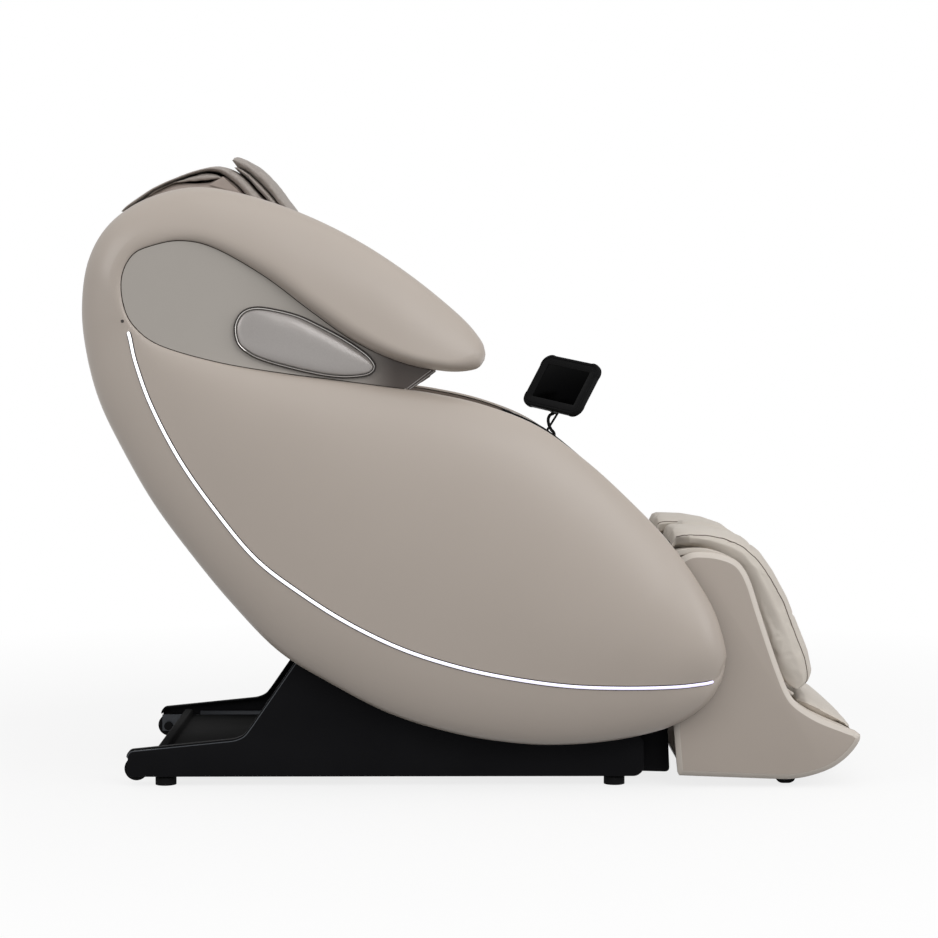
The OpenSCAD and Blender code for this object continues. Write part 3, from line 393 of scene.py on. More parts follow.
def makeLeather(name, spec):
    material, shader = newMaterial(name, IOR=1.48, Specular_IOR_Level=0.2, Sheen_Weight=0.03,
                                   Sheen_Roughness=0.5)
    place, _ = blotchColour(material, shader, *spec["colours"], spec["patch"], 6)
    warp = noiseNode(material, place, 3 * spec["cell"], 2)
    bend = addNode(material, "ShaderNodeVectorMath", {"operation": "MULTIPLY_ADD", 1: [leather["bend"]] * 3},
                   {0: warp.outputs["Color"], 2: place.outputs["Object"]})
    cells = addNode(material, "ShaderNodeTexVoronoi", {"feature": "DISTANCE_TO_EDGE",
                    "Scale": 1 / (spec["cell"] * mm)}, {"Vector": bend.outputs["Vector"]})
    crease = addNode(material, "ShaderNodeMapRange", {"From Max": leather["creaseWide"],
                     "interpolation_type": "SMOOTHSTEP"}, {"Value": cells.outputs["Distance"]})
    folds = noiseNode(material, place, leather["foldSize"], 3)
    first = addNode(material, "ShaderNodeBump", {"Distance": spec["height"] * mm,
                    "Strength": leather["creaseDeep"]}, {"Height": crease.outputs["Result"]})
    second = addNode(material, "ShaderNodeBump", {"Distance": leather["foldHeight"] * mm,
                     "Strength": leather["foldDeep"]},
                     {"Height": folds.outputs["Fac"], "Normal": first.outputs["Normal"]})
    plug(material, second.outputs["Normal"], shader.inputs["Normal"])
    roughnessPatches(material, shader, place, *spec["rough"], leather["stains"])
    return material


finishes = {name: makePlainFinish(name, spec) for name, spec in plainFinishes.items()}
finishes.update({name: makeLeather(name, spec) for name, spec in leatherFinishes.items()})


def makeRecessLacquer():  # a greyer lacquer, passing into painted shade under the wing's tip
    spec = {"colours": ("#b3ada6", "#aba59e"), "patch": 180, "dark": "#463d38", "from": -270, "to": -150,
            "grain": 1.2, "height": 0.015, "rough": (0.32, 0.38)}
    material, shader = newMaterial("recessLacquer", Metallic=0.15, Coat_Weight=0.2, Coat_Roughness=0.25)
    place, colour = blotchColour(material, shader, *spec["colours"], spec["patch"])
    along = alongX(material, place, spec["from"], spec["to"], interpolation_type="SMOOTHSTEP")
    # the dark colour is painted shade from the wing's overhang, growing towards the front of the recess
    underWingShade = addNode(material, "ShaderNodeMix", {"data_type": "RGBA", 7: linear(spec["dark"])},
                   {0: along.outputs["Result"], 6: colour.outputs[2]})
    plug(material, underWingShade.outputs[2], shader.inputs["Base Color"])
    grainBump(material, shader, place, spec["grain"], spec["height"])
    roughnessPatches(material, shader, place, *spec["rough"], spec["patch"])
    return material


def makeLightDiffuser():  # opal acrylic over a strip of lamps: even white, a little violet towards the feet
    spec = {"rear": "#fbfbff", "front": "#d9d3f2", "from": -450, "to": 450, "glow": 0.85}
    material, shader = newMaterial("opalAcrylic", Roughness=0.35, IOR=1.49, Emission_Strength=spec["glow"])
    place = addNode(material, "ShaderNodeTexCoord", {}, {})
    along = alongX(material, place, spec["from"], spec["to"])
    tint = addNode(material, "ShaderNodeMix", {"data_type": "RGBA", 6: linear(spec["rear"]),
                                               7: linear(spec["front"])}, {0: along.outputs["Result"]})
    for socket in ("Base Color", "Emission Color"):
        plug(material, tint.outputs[2], shader.inputs[socket])
    return material


def makeScreenGlass():  # hardened glass over a display that is off: black, with clean reflections
    spec = {"colours": ("#020203", "#010101"), "patch": 40, "grain": 9, "height": 0.003}
    material, shader = newMaterial("displayGlass", Roughness=0.16, IOR=1.52, Specular_IOR_Level=0.02)
    place, _ = blotchColour(material, shader, *spec["colours"], spec["patch"])
    grainBump(material, shader, place, spec["grain"], spec["height"])
    return material


finishes["recessLacquer"] = makeRecessLacquer()
finishes["opalAcrylic"] = makeLightDiffuser()
finishes["displayGlass"] = makeScreenGlass()
print("materials made:", len(finishes))

# ---- studio: pale floor, white surroundings, soft lamps
studio = {"floorSize": 60, "floorDrop": 0.5, "floor": "#f4f4f4", "bounce": "#7c7c7c", "clearFrom": 1.2,
          "clearTo": 2.6, "whiteNear": 0.8, "level": 0.61, "overhead": 0.70}
white = (1, 1, 1, 1)
# seamless paper: matt white with a soft shadow on it, fading to clear white away from the chair
floorMaterial, floorShader = newMaterial("paperFloor", Roughness=0.9)
floorPlace = addNode(floorMaterial, "ShaderNodeTexCoord", {}, {})
floorReach = addNode(floorMaterial, "ShaderNodeVectorMath", {"operation": "LENGTH"},
                     {0: floorPlace.outputs["Object"]})
floorClear = addNode(floorMaterial, "ShaderNodeMapRange",
                     {"From Min": studio["clearFrom"], "From Max": studio["clearTo"],
                      "To Min": studio["whiteNear"], "To Max": 1.0}, {"Value": floorReach.outputs["Value"]})
floorRay = addNode(floorMaterial, "ShaderNodeLightPath", {}, {})
floorTint = addNode(floorMaterial, "ShaderNodeMix", {"data_type": "RGBA", 6: linear(studio["bounce"]),
                    7: linear(studio["floor"])}, {0: floorRay.outputs["Is Camera Ray"]})
plug(floorMaterial, floorTint.outputs[2], floorShader.inputs["Base Color"])
floorSeen = addNode(floorMaterial, "ShaderNodeMath", {"operation": "MAXIMUM"},
                    {0: floorRay.outputs["Is Camera Ray"], 1: floorRay.outputs["Is Glossy Ray"]})
floorThrough = addNode(floorMaterial, "ShaderNodeMath", {"operation": "MAXIMUM"},
                       {0: floorSeen.outputs[0], 1: floorRay.outputs["Is Transmission Ray"]})
floorShare = addNode(floorMaterial, "ShaderNodeMath", {"operation": "MULTIPLY"},
                     {0: floorThrough.outputs[0], 1: floorClear.outputs["Result"]})
floorWhite = addNode(floorMaterial, "ShaderNodeEmission", {"Color": white, "Strength": 1.0}, {})
floorMix = addNode(floorMaterial, "ShaderNodeMixShader", {},
                   {0: floorShare.outputs[0], 1: floorShader.outputs[0], 2: floorWhite.outputs[0]})
plug(floorMaterial, floorMix.outputs[0], floorMaterial.node_tree.nodes["Material Output"].inputs["Surface"])
finishes["paperFloor"] = floorMaterial
half = studio["floorSize"] / 2 / mm
floorCorners = [(x, y, -studio["floorDrop"])
                for x, y in ((-half, -half), (half, -half), (half, half), (-half, half))]
floor = newPiece("paper_floor", floorCorners, [(0, 1, 2, 3)], "paperFloor")

world = bpy.data.worlds.new("studio")
scene.world = world
world.use_nodes = True
surround = world.node_tree.nodes["Background"]
surround.inputs["Color"].default_value = white
skyPlace = addNode(world, "ShaderNodeTexCoord", {}, {})
skySplit = addNode(world, "ShaderNodeSeparateXYZ", {}, {"Vector": skyPlace.outputs["Generated"]})
skyRise = addNode(world, "ShaderNodeMapRange", {"To Min": studio["level"], "To Max": studio["overhead"]},
                  {"Value": skySplit.outputs["Z"]})
plug(world, skyRise.outputs["Result"], surround.inputs["Strength"])
seenWhite = addNode(world, "ShaderNodeBackground", {"Color": white, "Strength": 1.0}, {})
worldRay = addNode(world, "ShaderNodeLightPath", {}, {})
worldMix = addNode(world, "ShaderNodeMixShader", {},
                   {0: worldRay.outputs["Is Camera Ray"], 1: surround.outputs[0], 2: seenWhite.outputs[0]})
plug(world, worldMix.outputs[0], world.node_tree.nodes["World Output"].inputs["Surface"])

lamps = {  # place, what it points at, size and power in watts
    "overhead_softbox": {"at": (0.9, -1.6, 3.1), "to": (0.0, 0.0, 0.6), "size": (3.0, 2.4), "watts": 14},
    "rear_softbox": {"at": (-3.2, -2.8, 2.2), "to": (-0.3, 0.0, 0.8), "size": (2.0, 2.0), "watts": 28},
    "side_softbox": {"at": (2.3, -3.8, 2.8), "to": (0.2, 0.0, 0.6), "size": (2.6, 1.6), "watts": 38},
    "feet_softbox": {"at": (3.8, -1.6, 1.4), "to": (0.3, 0.0, 0.6), "size": (1.8, 2.0), "watts": 24},
}
for lampName, spec in lamps.items():
    lampData = bpy.data.lights.new(lampName, "AREA")
    lampData.shape = "RECTANGLE"
    lampData.size, lampData.size_y = spec["size"]
    lampData.energy = spec["watts"]
    lamp = bpy.data.objects.new(lampName, lampData)
    lamp.location = spec["at"]
    lamp.rotation_euler = (Vector(spec["to"]) - Vector(spec["at"])).to_track_quat("-Z", "Y").to_euler()
    scene.collection.objects.link(lamp)
scene.view_settings.view_transform = "Standard"
print("studio lit with", len(lamps), "lamps")

# ---- side shells: a deep bowl from the wing over the head and down to the front of the arm
cabin = {"halfWidth": 405, "shellDepth": 75, "creaseInset": 15, "wall": 4, "thinnest": 0.35, "lensBulge": 16,
         "bulgeWide": 300}
rimY = cabin["halfWidth"] - cabin["shellDepth"]
creaseY = cabin["halfWidth"] - cabin["creaseInset"]
shellGrid = {"alongSteps": 6, "rimSteps": 9, "fieldSteps": 26, "rimAngle": 70}
# outer edge x, z, crease x, z, inner edge x, z, and how full the bulge is,
# from the wing's tip round to the arm
shellStations = [
    (17, 868, 18, 860, 16, 849, 0.12), (8, 890, 2, 862, -2, 831, 0.55), (-30, 934, -54, 852, -60, 827, 0.85),
    (-118, 1007, -136, 872, -148, 845, 1), (-214, 1072, -220, 918, -238, 886, 1),
    (-312, 1123, -300, 976, -322, 945, 1), (-412, 1161, -394, 1050, -412, 1013, 1),
    (-512, 1184, -502, 1098, -508, 1067, 1), (-586, 1181, -572, 1108, -572, 1080, 1),
    (-662, 1154, -640, 1096, -627, 1070, 1), (-722, 1106, -684, 1064, -664, 1052, 1),
    (-758, 1038, -708, 1010, -685, 1010, 1), (-770, 950, -694, 945, -682, 955, 1),
    (-762, 862, -672, 904, -660, 912, 1), (-738, 770, -658, 844, -610, 876, 1),
    (-696, 680, -628, 760, -500, 844, 1), (-634, 570, -574, 656, -384, 824, 1),
    (-560, 468, -506, 558, -276, 810, 1), (-480, 370, -428, 464, -180, 797, 1),
    (-390, 277, -340, 396, -84, 784, 1), (-290, 214, -245, 336, 20, 760, 1),
    (-170, 152, -140, 286, 124, 718, 1), (-40, 112, -30, 251, 220, 648, 1), (90, 92, 75, 229, 304, 571, 1),
    (200, 91, 180, 215, 374, 498, 1), (305, 104, 280, 211, 428, 426, 1), (392, 129, 370, 212, 466, 362, 0.95),
    (452, 168, 428, 215, 484, 312, 0.75), (482, 212, 470, 222, 492, 280, 0.4),
    (491, 246, 491, 256, 494, 266, 0.12)]
rearStation = 12
recess = {"rearX": -690, "frontX": -60, "rearSunk": 4, "frontProud": 2, "gap": 1.5, "rows": 66, "columns": 14,
          "wingEnd": 2.5, "armEnd": 18.5, "edgeLines": (0.35, 0.95), "edgeRadius": 0.8,
          "frontCorners": [(-78, 827), (-128, 791)]}  # the ends are counted in stations


def recessY(x):  # how far out the recess stands: flush at the rear, sunk to the inner panel at the front
    t = clamp((x - recess["rearX"]) / (recess["frontX"] - recess["rearX"]))
    front = rimY + recess["frontProud"]
    return front + (creaseY - recess["rearSunk"] - front) * (0.5 + 0.5 * math.cos(math.pi * t))


def shellRow(station):
    outerX, outerZ, creaseX, creaseZ, innerX, innerZ, full = station
    innerY = mix(rimY, recessY(innerX), clamp(2 * full))
    topY = mix(rimY, creaseY, full)
    wide = clamp(math.hypot(innerX - creaseX, innerZ - creaseZ) / cabin["bulgeWide"])
    whole = math.radians(shellGrid["rimAngle"])
    row = []
    for k in range(shellGrid["rimSteps"]):  # the rim, round from the edge to the crease
        a = whole * k / shellGrid["rimSteps"]
        t = (1 - math.cos(a)) / (1 - math.cos(whole))
        row.append((mix(outerX, creaseX, t), -mix(rimY, topY, math.sin(a) / math.sin(whole)),
                    mix(outerZ, creaseZ, t)))
    for k in range(shellGrid["fieldSteps"] + 1):  # the lens inside the crease
        t = math.sin(math.pi / 2 * k / shellGrid["fieldSteps"])
        y = mix(innerY, topY, math.sqrt(max(0, 1 - t ** 3)))
        y += full * wide * cabin["lensBulge"] * math.sin(math.pi * t)
        row.append((mix(creaseX, innerX, t), -y, mix(creaseZ, innerZ, t)))
    return row


stations = smoothLine(shellStations, shellGrid["alongSteps"])
shellOuter = [shellRow(station) for station in stations]


def gridNormal(grid, i, k):
    down = Vector(grid[min(i + 1, len(grid) - 1)][k]) - Vector(grid[max(i - 1, 0)][k])
    across = Vector(grid[i][min(k + 1, len(grid[0]) - 1)]) - Vector(grid[i][max(k - 1, 0)])
    return down.cross(across).normalized()


shellInner = []
for i, row in enumerate(shellOuter):
    thick = cabin["wall"] * max(cabin["thinnest"], stations[i][6])
    innerRow = [Vector(p) - thick * gridNormal(shellOuter, i, k) for k, p in enumerate(row)]
    shellInner.append([(q.x, min(q.y, -rimY), q.z) for q in innerRow])
for sideName, mirror in sides:
    fit(wallPiece("shell_" + sideName, shellOuter, shellInner, "taupeLacquer", mirror, 40),
        "cabin", "shell_taupe", "side_shell_" + sideName)
print("side shells:", len(shellOuter), "x", len(shellOuter[0]))

# ---- recess panel behind the wing
perStation = shellGrid["alongSteps"]
rearIndex = rearStation * perStation
innerEdge = [(s[4], s[5]) for s in stations]
wingEdge = innerEdge[rearIndex:int(recess["wingEnd"] * perStation) - 1:-1]
armEdge = innerEdge[rearIndex:int(recess["armEnd"] * perStation) + 1]


def onRecess(point, proud):
    return (point[0], -(recessY(point[0]) + proud), point[1])


upperLine = evenLine(sideways(wingEdge, -recess["gap"]) + [recess["frontCorners"][0]], recess["rows"])
lowerLine = evenLine(sideways(armEdge, recess["gap"]) + [recess["frontCorners"][1]], recess["rows"])
recessFront, recessBack = [], []
for p, q in list(zip(upperLine, lowerLine))[1:]:
    line = [mixPoints(p, q, j / recess["columns"]) for j in range(recess["columns"] + 1)]
    recessFront.append([onRecess(r, 0) for r in line])
    recessBack.append([onRecess(r, -min(cabin["wall"], recessY(r[0]) - rimY)) for r in line])
for sideName, mirror in sides:
    fit(wallPiece("recess_" + sideName, recessFront, recessBack, "recessLacquer", mirror, 40),
        "cabin", "recess_grey", "recess_panel_" + sideName)
    for k, share in enumerate(recess["edgeLines"]):  # two thin bright lines along its front edge
        route = [mixPoints(p, q, share) for p, q in zip(recessFront[-1], recessFront[-2])]
        fit(loftPiece("recess_edge_%s_%d" % (sideName, k + 1), tubeRows(route, recess["edgeRadius"], 10),
                      "silverPaint", mirror, 60), "cabin", "bezel_dark")

# ---- pod on the recess: a near-black groove that is painted shade round the bezel's skirt, a bright metal line and a silver domed cover, all bare
pod = {"groove": 2.6, "line": 2.8, "stand": 12, "foot": 1.5, "edge": 5, "dome": 7, "steps": 8, "gap": 1.0,
       "outline": [(-470, 914), (-464, 880), (-440, 858), (-408, 844), (-366, 832), (-324, 822), (-285, 815),
                   (-246, 813), (-208, 819), (-195, 836), (-207, 857), (-234, 878), (-266, 898), (-304, 918),
                   (-342, 936), (-386, 948), (-428, 953), (-456, 942)]}
podRing = smoothRing(pod["outline"], pod["steps"])


def podBand(name, profile, finish, mirror):  # a ring whose section is a list of (inset, height)
    rings = [[onRecess(p, height) for p in sideways(podRing, inset, True)] for inset, height in profile]
    rows = [[ring[i] for ring in rings] for i in range(len(podRing))]
    points = [p for row in rows for p in row]
    columns, count = len(profile), len(rows)
    faces = [(i * columns + j, i * columns + (j + 1) % columns,
              (i + 1) % count * columns + (j + 1) % columns, (i + 1) % count * columns + j)
             for i in range(count) for j in range(columns)]
    return newPiece(name, points, faces, finish, mirror, 45)


groove, stand = pod["groove"], pod["stand"]
bezel = groove + pod["line"]
grooveProfile = [(0, 0.3), (0, stand - 5), (0.5, stand - 3.6), (1.2, stand - 3.2),
                 (groove - 0.6, stand - 3.4), (groove, stand - 6), (groove, 0.3)]
lineProfile = [(groove + 0.1, 0.6), (groove + 0.1, stand - 2.6), (groove + 0.4, stand - 0.9),
               (groove + 1.0, stand - 0.1), (groove + 1.8, stand - 0.2), (bezel - 0.3, stand - 1.2),
               (bezel, stand - 2.6), (bezel, 0.6)]
coverEdge = sideways(podRing, bezel + pod["gap"], True)
coverMiddle = tuple(sum(p[a] for p in coverEdge) / len(coverEdge) for a in (0, 1))
coverLevels = [1.0, 0.995, 0.985, 0.965, 0.94, 0.9, 0.84, 0.76, 0.66, 0.54, 0.4, 0.26, 0.12, 0.03]
coverRows = [[onRecess(p, pod["foot"]) for p in coverEdge]]
for level in coverLevels:
    rise = stand - pod["edge"] + (pod["dome"] + pod["edge"]) * math.sqrt(max(0, 1 - level ** 3))
    coverRows.append([onRecess(mixPoints(coverMiddle, p, level), rise) for p in coverEdge])
for sideName, mirror in sides:
    # the groove's near-black chrome is painted shade under the bezel's skirt
    for part, profile, finish in (("groove", grooveProfile, "darkChromeAndShade"),
                                  ("line", lineProfile, "brightChrome")):
        fit(podBand("pod_%s_%s" % (part, sideName), profile, finish, mirror),
            "cabin", "bezel_dark", "pod_bezel_" + sideName)
    fit(loftPiece("pod_dome_" + sideName, coverRows, "silverPaint", mirror, 60),
        "cabin", "pod_silver", "pod_cover_" + sideName)
print("recess and pods")

# ---- light line along the crease: a dark channel with an opal diffuser in it
lightLine = {"first": 13, "last": 28, "trim": 7, "samples": 600, "channel": 9.6, "diffuser": 6.6, "step": 7,
             "ends": (0.03, 0.2, 0.5, 0.9, 1.5, 2.3, 3.2), "dot": 3.2, "dotBefore": 3}
creaseColumn = shellGrid["rimSteps"]
lightFrames = []
for i in range(lightLine["first"] * perStation, lightLine["last"] * perStation + 1):
    across = (Vector(shellOuter[i][creaseColumn + 1]) - Vector(shellOuter[i][creaseColumn - 1])).normalized()
    lightFrames.append(tuple(shellOuter[i][creaseColumn]) + tuple(gridNormal(shellOuter, i, creaseColumn))
                       + tuple(across))
lightRun, lightCount = lineLength(lightFrames) - lightLine["trim"], lightLine["samples"]
lightFrames = pointsAt(lightFrames, [k * lightRun / lightCount for k in range(lightCount + 1)])
lightLength = lineLength(lightFrames)


def lightRows(width, section):  # section: (share of half width, height), round at both ends
    radius, places = width / 2, []
    for s in lightLine["ends"]:
        places += [min(s, radius), lightLength - min(s, radius)]
    places += [k * lightLine["step"] for k in range(1, int(lightLength / lightLine["step"]))]
    places = sorted(set(p for p in places if 0 < p < lightLength))
    rows = []
    for place, f in zip(places, pointsAt(lightFrames, places)):
        p, n, t = Vector(f[:3]), Vector(f[3:6]), Vector(f[6:9])
        near = min(place, lightLength - place, radius)
        w = math.sqrt(max(0.0, radius ** 2 - (radius - near) ** 2))
        rows.append([tuple(p + n * height + t * w * share) for share, height in section])
    return rows


channelSection = [(-1, 0.25), (0, -0.1), (1, 0.25), (0.96, 1.0), (0.8, 1.25), (-0.8, 1.25), (-0.96, 1.0)]
diffuserSection = [(-1, 0.9), (0, 0.6), (1, 0.9), (0.94, 1.8), (0.7, 2.4), (0.35, 2.7), (0, 2.8),
                   (-0.35, 2.7), (-0.7, 2.4), (-0.94, 1.8)]
dotRow = lightLine["first"] * perStation - lightLine["dotBefore"]
dotAt, dotNormal = Vector(shellOuter[dotRow][creaseColumn]), gridNormal(shellOuter, dotRow, creaseColumn)
dotRows = tubeRows([dotAt + dotNormal * h for h in (-1.0, 0.5, 0.9, 1.0)], lightLine["dot"], 20,
                   [1, 1, 0.8, 0.3])
for sideName, mirror in sides:
    fit(loftPiece("light_channel_" + sideName, lightRows(lightLine["channel"], channelSection), "satinAbs",
                  mirror, 50), "cabin", "cover_black", "light_strip_" + sideName)
    fit(loftPiece("light_diffuser_" + sideName, lightRows(lightLine["diffuser"], diffuserSection),
                  "opalAcrylic", mirror, 50), "cabin", "light", "light_strip_" + sideName)
    fit(loftPiece("light_sensor_" + sideName, dotRows, "darkChromeAndShade", mirror, 50), "cabin", "bezel_dark")
print("light lines:", round(lightLength), "mm each")

# ---- rear cover in two widths, with a grille for the motor's air: stations, then sizes and places in mm
rear = {"first": 8, "last": 19, "wideStations": 10, "steps": 8, "inset": 14, "thick": 5, "half": 321,
        "lowHalf": 250, "edge": 1.2, "slats": 9, "slatFrom": 380, "slatEvery": 17, "slatTall": 9,
        "slatProud": 1.8, "slatHalf": 110, "screws": (40, 330, 620, 860), "screwHalf": 295, "screwRadius": 5}
rearStations = smoothLine(shellStations[rear["first"] - 1:rear["last"] + 2], rear["steps"])
rearStations = rearStations[rear["steps"]:-rear["steps"]]
rearLine = sideways([(s[0], s[1]) for s in rearStations], rear["inset"])
rearIn = sideways(rearLine, rear["thick"])
wideEnd = rear["wideStations"] * rear["steps"]
lowStart = wideEnd - rear["steps"] // 2
for name, band, halfWide in (("rear_panel", rearLine[:wideEnd + 1] + rearIn[wideEnd::-1], rear["half"]),
                             ("rear_panel_low", rearLine[lowStart:] + rearIn[:lowStart - 1:-1],
                              rear["lowHalf"])):
    fit(platePiece(name, band, -halfWide, halfWide, "taupeLacquer", edge=rear["edge"]),
        "cabin", "shell_taupe", "rear_cover")
slatPlaces = [rear["slatFrom"] + rear["slatEvery"] * k for k in range(rear["slats"])]
slatEnds = pointsAt(rearLine, [p + rear["slatTall"] for p in slatPlaces])
for k, (a, b) in enumerate(zip(pointsAt(rearLine, slatPlaces), slatEnds)):
    run = math.dist(a, b)
    out = ((b[1] - a[1]) / run * rear["slatProud"], (a[0] - b[0]) / run * rear["slatProud"])
    heights = [(a, 0), (b, 0), (b, 0.6), (mixPoints(a, b, 0.55), 1), (a, 0.4)]
    fit(platePiece("rear_slat_%d" % (k + 1), [(p[0] + out[0] * h, p[1] + out[1] * h) for p, h in heights],
                   -rear["slatHalf"], rear["slatHalf"], "satinAbs", edge=0.5), "cabin", "cover_black")
screwNext = pointsAt(rearLine, [s + 1 for s in rear["screws"]])
for k, (p, q) in enumerate(zip(pointsAt(rearLine, rear["screws"]), screwNext)):
    outward = Vector((q[1] - p[1], 0, p[0] - q[0])).normalized()
    for sideName, mirror in sides:
        centre = Vector((p[0], rear["screwHalf"] if mirror else -rear["screwHalf"], p[1]))
        rows = tubeRows([centre + outward * h for h in (-2, 0.4, 1.3, 1.6)], rear["screwRadius"], 20,
                        [1, 1, 0.9, 0.6])
        fit(loftPiece("rear_screw_%s_%d" % (sideName, k + 1), rows, "groundSteel", sharp=40),
            "cabin", "steel_bright")

# ---- base: covers with a turned-in top edge and a painted highlight along it, tray and front cover
base = {"half": 288, "wall": 5, "corner": 9, "flange": 14, "flangeThick": 3, "overlap": 0.8,
        "edgeRadius": 1.1, "highlightTo": -345, "trayHalf": 242.7, "frontHalf": 236,
        "cover": [(-694, 19), (-694, 62), (-688, 70), (-480, 91), (-461, 99), (-448, 116), (-352, 255),
                  (-338, 262), (140, 262), (170, 240), (335, 92), (335, 30), (322, 19)],
        "tray": [(-644, 66), (-638, 72), (-624, 72), (-618, 60), (-300, 60), (-300, 54.3), (-622, 54.3),
                 (-630, 66), (-638, 66), (-640, 54.3), (-646, 54.3)],
        "front": [(322, 20), (392, 18), (386, 150), (366, 156), (322, 100)]}
coverOutline = roundedCorners(base["cover"], base["corner"])
flangeTop = coverOutline[6:48]
flangeBand = flangeTop + sideways(flangeTop, base["flangeThick"])[::-1]
coverY, wallY = -base["half"], base["wall"] - base["half"]
# a thin grey tube along the near part of the covers' top edge: a painted highlight
highlightRows = tubeRows([(x, coverY + 0.9, z - 0.5) for x, z in flangeTop if x < base["highlightTo"]],
                    base["edgeRadius"], 10)
for sideName, mirror in sides:
    fit(platePiece("base_side_" + sideName, coverOutline, coverY, wallY, "blackAbs", mirror, 1.6),
        "base", "cover_black", "base_cover_" + sideName)
    fit(platePiece("base_flange_" + sideName, flangeBand, wallY - base["overlap"], wallY + base["flange"],
                   "blackAbs", mirror, 0.8), "base", "cover_black", "base_cover_" + sideName)
    fit(loftPiece("base_highlight_" + sideName, highlightRows, "powderCoatAndHighlight", mirror, 60), "base", "cover_black")
# the shelf's blacker colour is painted shade under the chair
fit(platePiece("base_shelf", roundedCorners(base["tray"], 2.5, 4), -base["trayHalf"], base["trayHalf"],
               "shadedShelfAbs", edge=1.0), "base", "cover_black", "base_tray")
fit(platePiece("base_front", roundedCorners(base["front"], 10), -base["frontHalf"], base["frontHalf"],
               "blackAbs", edge=2.5), "base", "cover_black", "front_cover")
print("base covers")

# ---- ottoman: two lacquered sides with a painted highlight on the slanted band round the rim, a floor, boards under the pads
ottoman = {"half": 315, "wall": 16, "panel": 10, "clear": 0.3, "slide": 7, "leg": 6, "board": 5,
           "knee": (370, 478), "along": (0.34, -0.94), "forward": 26, "slideFrom": 60, "slideTo": 330,
           "below": 60, "slideWide": 26, "rim": (0.5, 8), "turnedDown": 11, "crossAhead": 70,
           "crossRadius": 10,
           "top": [(390, 450), (423, 468), (452, 470), (482, 466), (512, 455), (531, 436), (546, 405),
                   (562, 355), (582, 295), (602, 238), (622, 190), (642, 166), (682, 141), (732, 121),
                   (754, 113)],
           "low": [(764, 105), (763, 94), (752, 76), (733, 56), (707, 38), (673, 25), (633, 17), (584, 17),
                   (404, 24), (398, 60), (393, 118)],
           "heel": [(404, 24), (401, 30), (398, 60), (393, 118)],
           "floorTop": [(758, 96), (748, 74), (730, 56), (706, 40), (673, 27), (633, 19), (584, 19),
                        (414, 28)],
           "floorUnder": [(414, 34), (584, 25), (633, 25), (670, 33), (700, 45), (724, 60), (741, 77),
                          (750, 96)],
           "glide": [(598, 21), (604, 6), (612, 2), (630, 2), (638, 6), (644, 21)], "glideY": (-275, -225)}
padFace = [(379, 500), (388, 510), (404, 513), (458, 511), (500, 504), (541, 490), (575, 462), (602, 424),
           (631, 371), (657, 306), (673, 266), (681, 226), (676, 202), (662, 188)]
padBack = [(386, 462), (400, 472), (430, 476), (462, 474), (496, 462), (516, 446), (534, 404), (552, 350),
           (572, 290), (590, 242), (600, 222), (610, 206), (620, 196), (632, 188)]
footBack = [(634, 172), (656, 156), (680, 143), (706, 131), (732, 120), (748, 112), (757, 106)]
legY = (ottoman["half"] - ottoman["wall"] - ottoman["clear"] - ottoman["slide"] - ottoman["clear"]
        - ottoman["leg"])
inside = ottoman["half"] - ottoman["panel"] - ottoman["clear"]
ottomanOutline = smoothLine(ottoman["top"], 8) + smoothLine(ottoman["low"], 4)[:-12] + ottoman["heel"]


def slidePoint(reach, ahead=0, down=0):  # a place on the slide, this far below the knee
    return (ottoman["knee"][0] + reach * ottoman["along"][0] + ottoman["forward"] + ahead,
            ottoman["knee"][1] + reach * ottoman["along"][1] - down)


def strapOutline(p, q, width):  # a bar from p to q with round ends
    a, steps = math.atan2(q[1] - p[1], q[0] - p[0]), 12
    line = []
    for centre, first in ((q, -90), (p, 90)):
        for s in range(steps + 1):
            b = a + math.radians(first + 180 * s / steps)
            line.append((centre[0] + width / 2 * math.cos(b), centre[1] + width / 2 * math.sin(b)))
    return line


def insetRing(outline, inset):  # the outline moved inwards, with nothing closer to it than the inset
    count, ring = len(outline), sideways(outline, -inset, True)
    for _ in range(4):
        for i, q in enumerate(ring):
            best = None
            for k in range(count):
                a, b = outline[k], outline[(k + 1) % count]
                run = (b[0] - a[0], b[1] - a[1])
                along = (q[0] - a[0]) * run[0] + (q[1] - a[1]) * run[1]
                t = clamp(along / max(run[0] ** 2 + run[1] ** 2, 1e-9))
                near = (a[0] + run[0] * t, a[1] + run[1] * t)
                away = math.dist(q, near)
                if best is None or away < best[0]:
                    best = (away, near)
            if 1e-6 < best[0] < inset:
                ring[i] = mixPoints(best[1], q, inset / best[0])
    for _ in range(12):  # steps that run backwards round a tight corner close up
        for i in range(count):
            k = (i + 1) % count
            if sum((ring[k][a] - ring[i][a]) * (outline[k][a] - outline[i][a]) for a in (0, 1)) < 0:
                ring[i] = ring[k] = mixPoints(ring[i], ring[k], 0.5)
    return ring


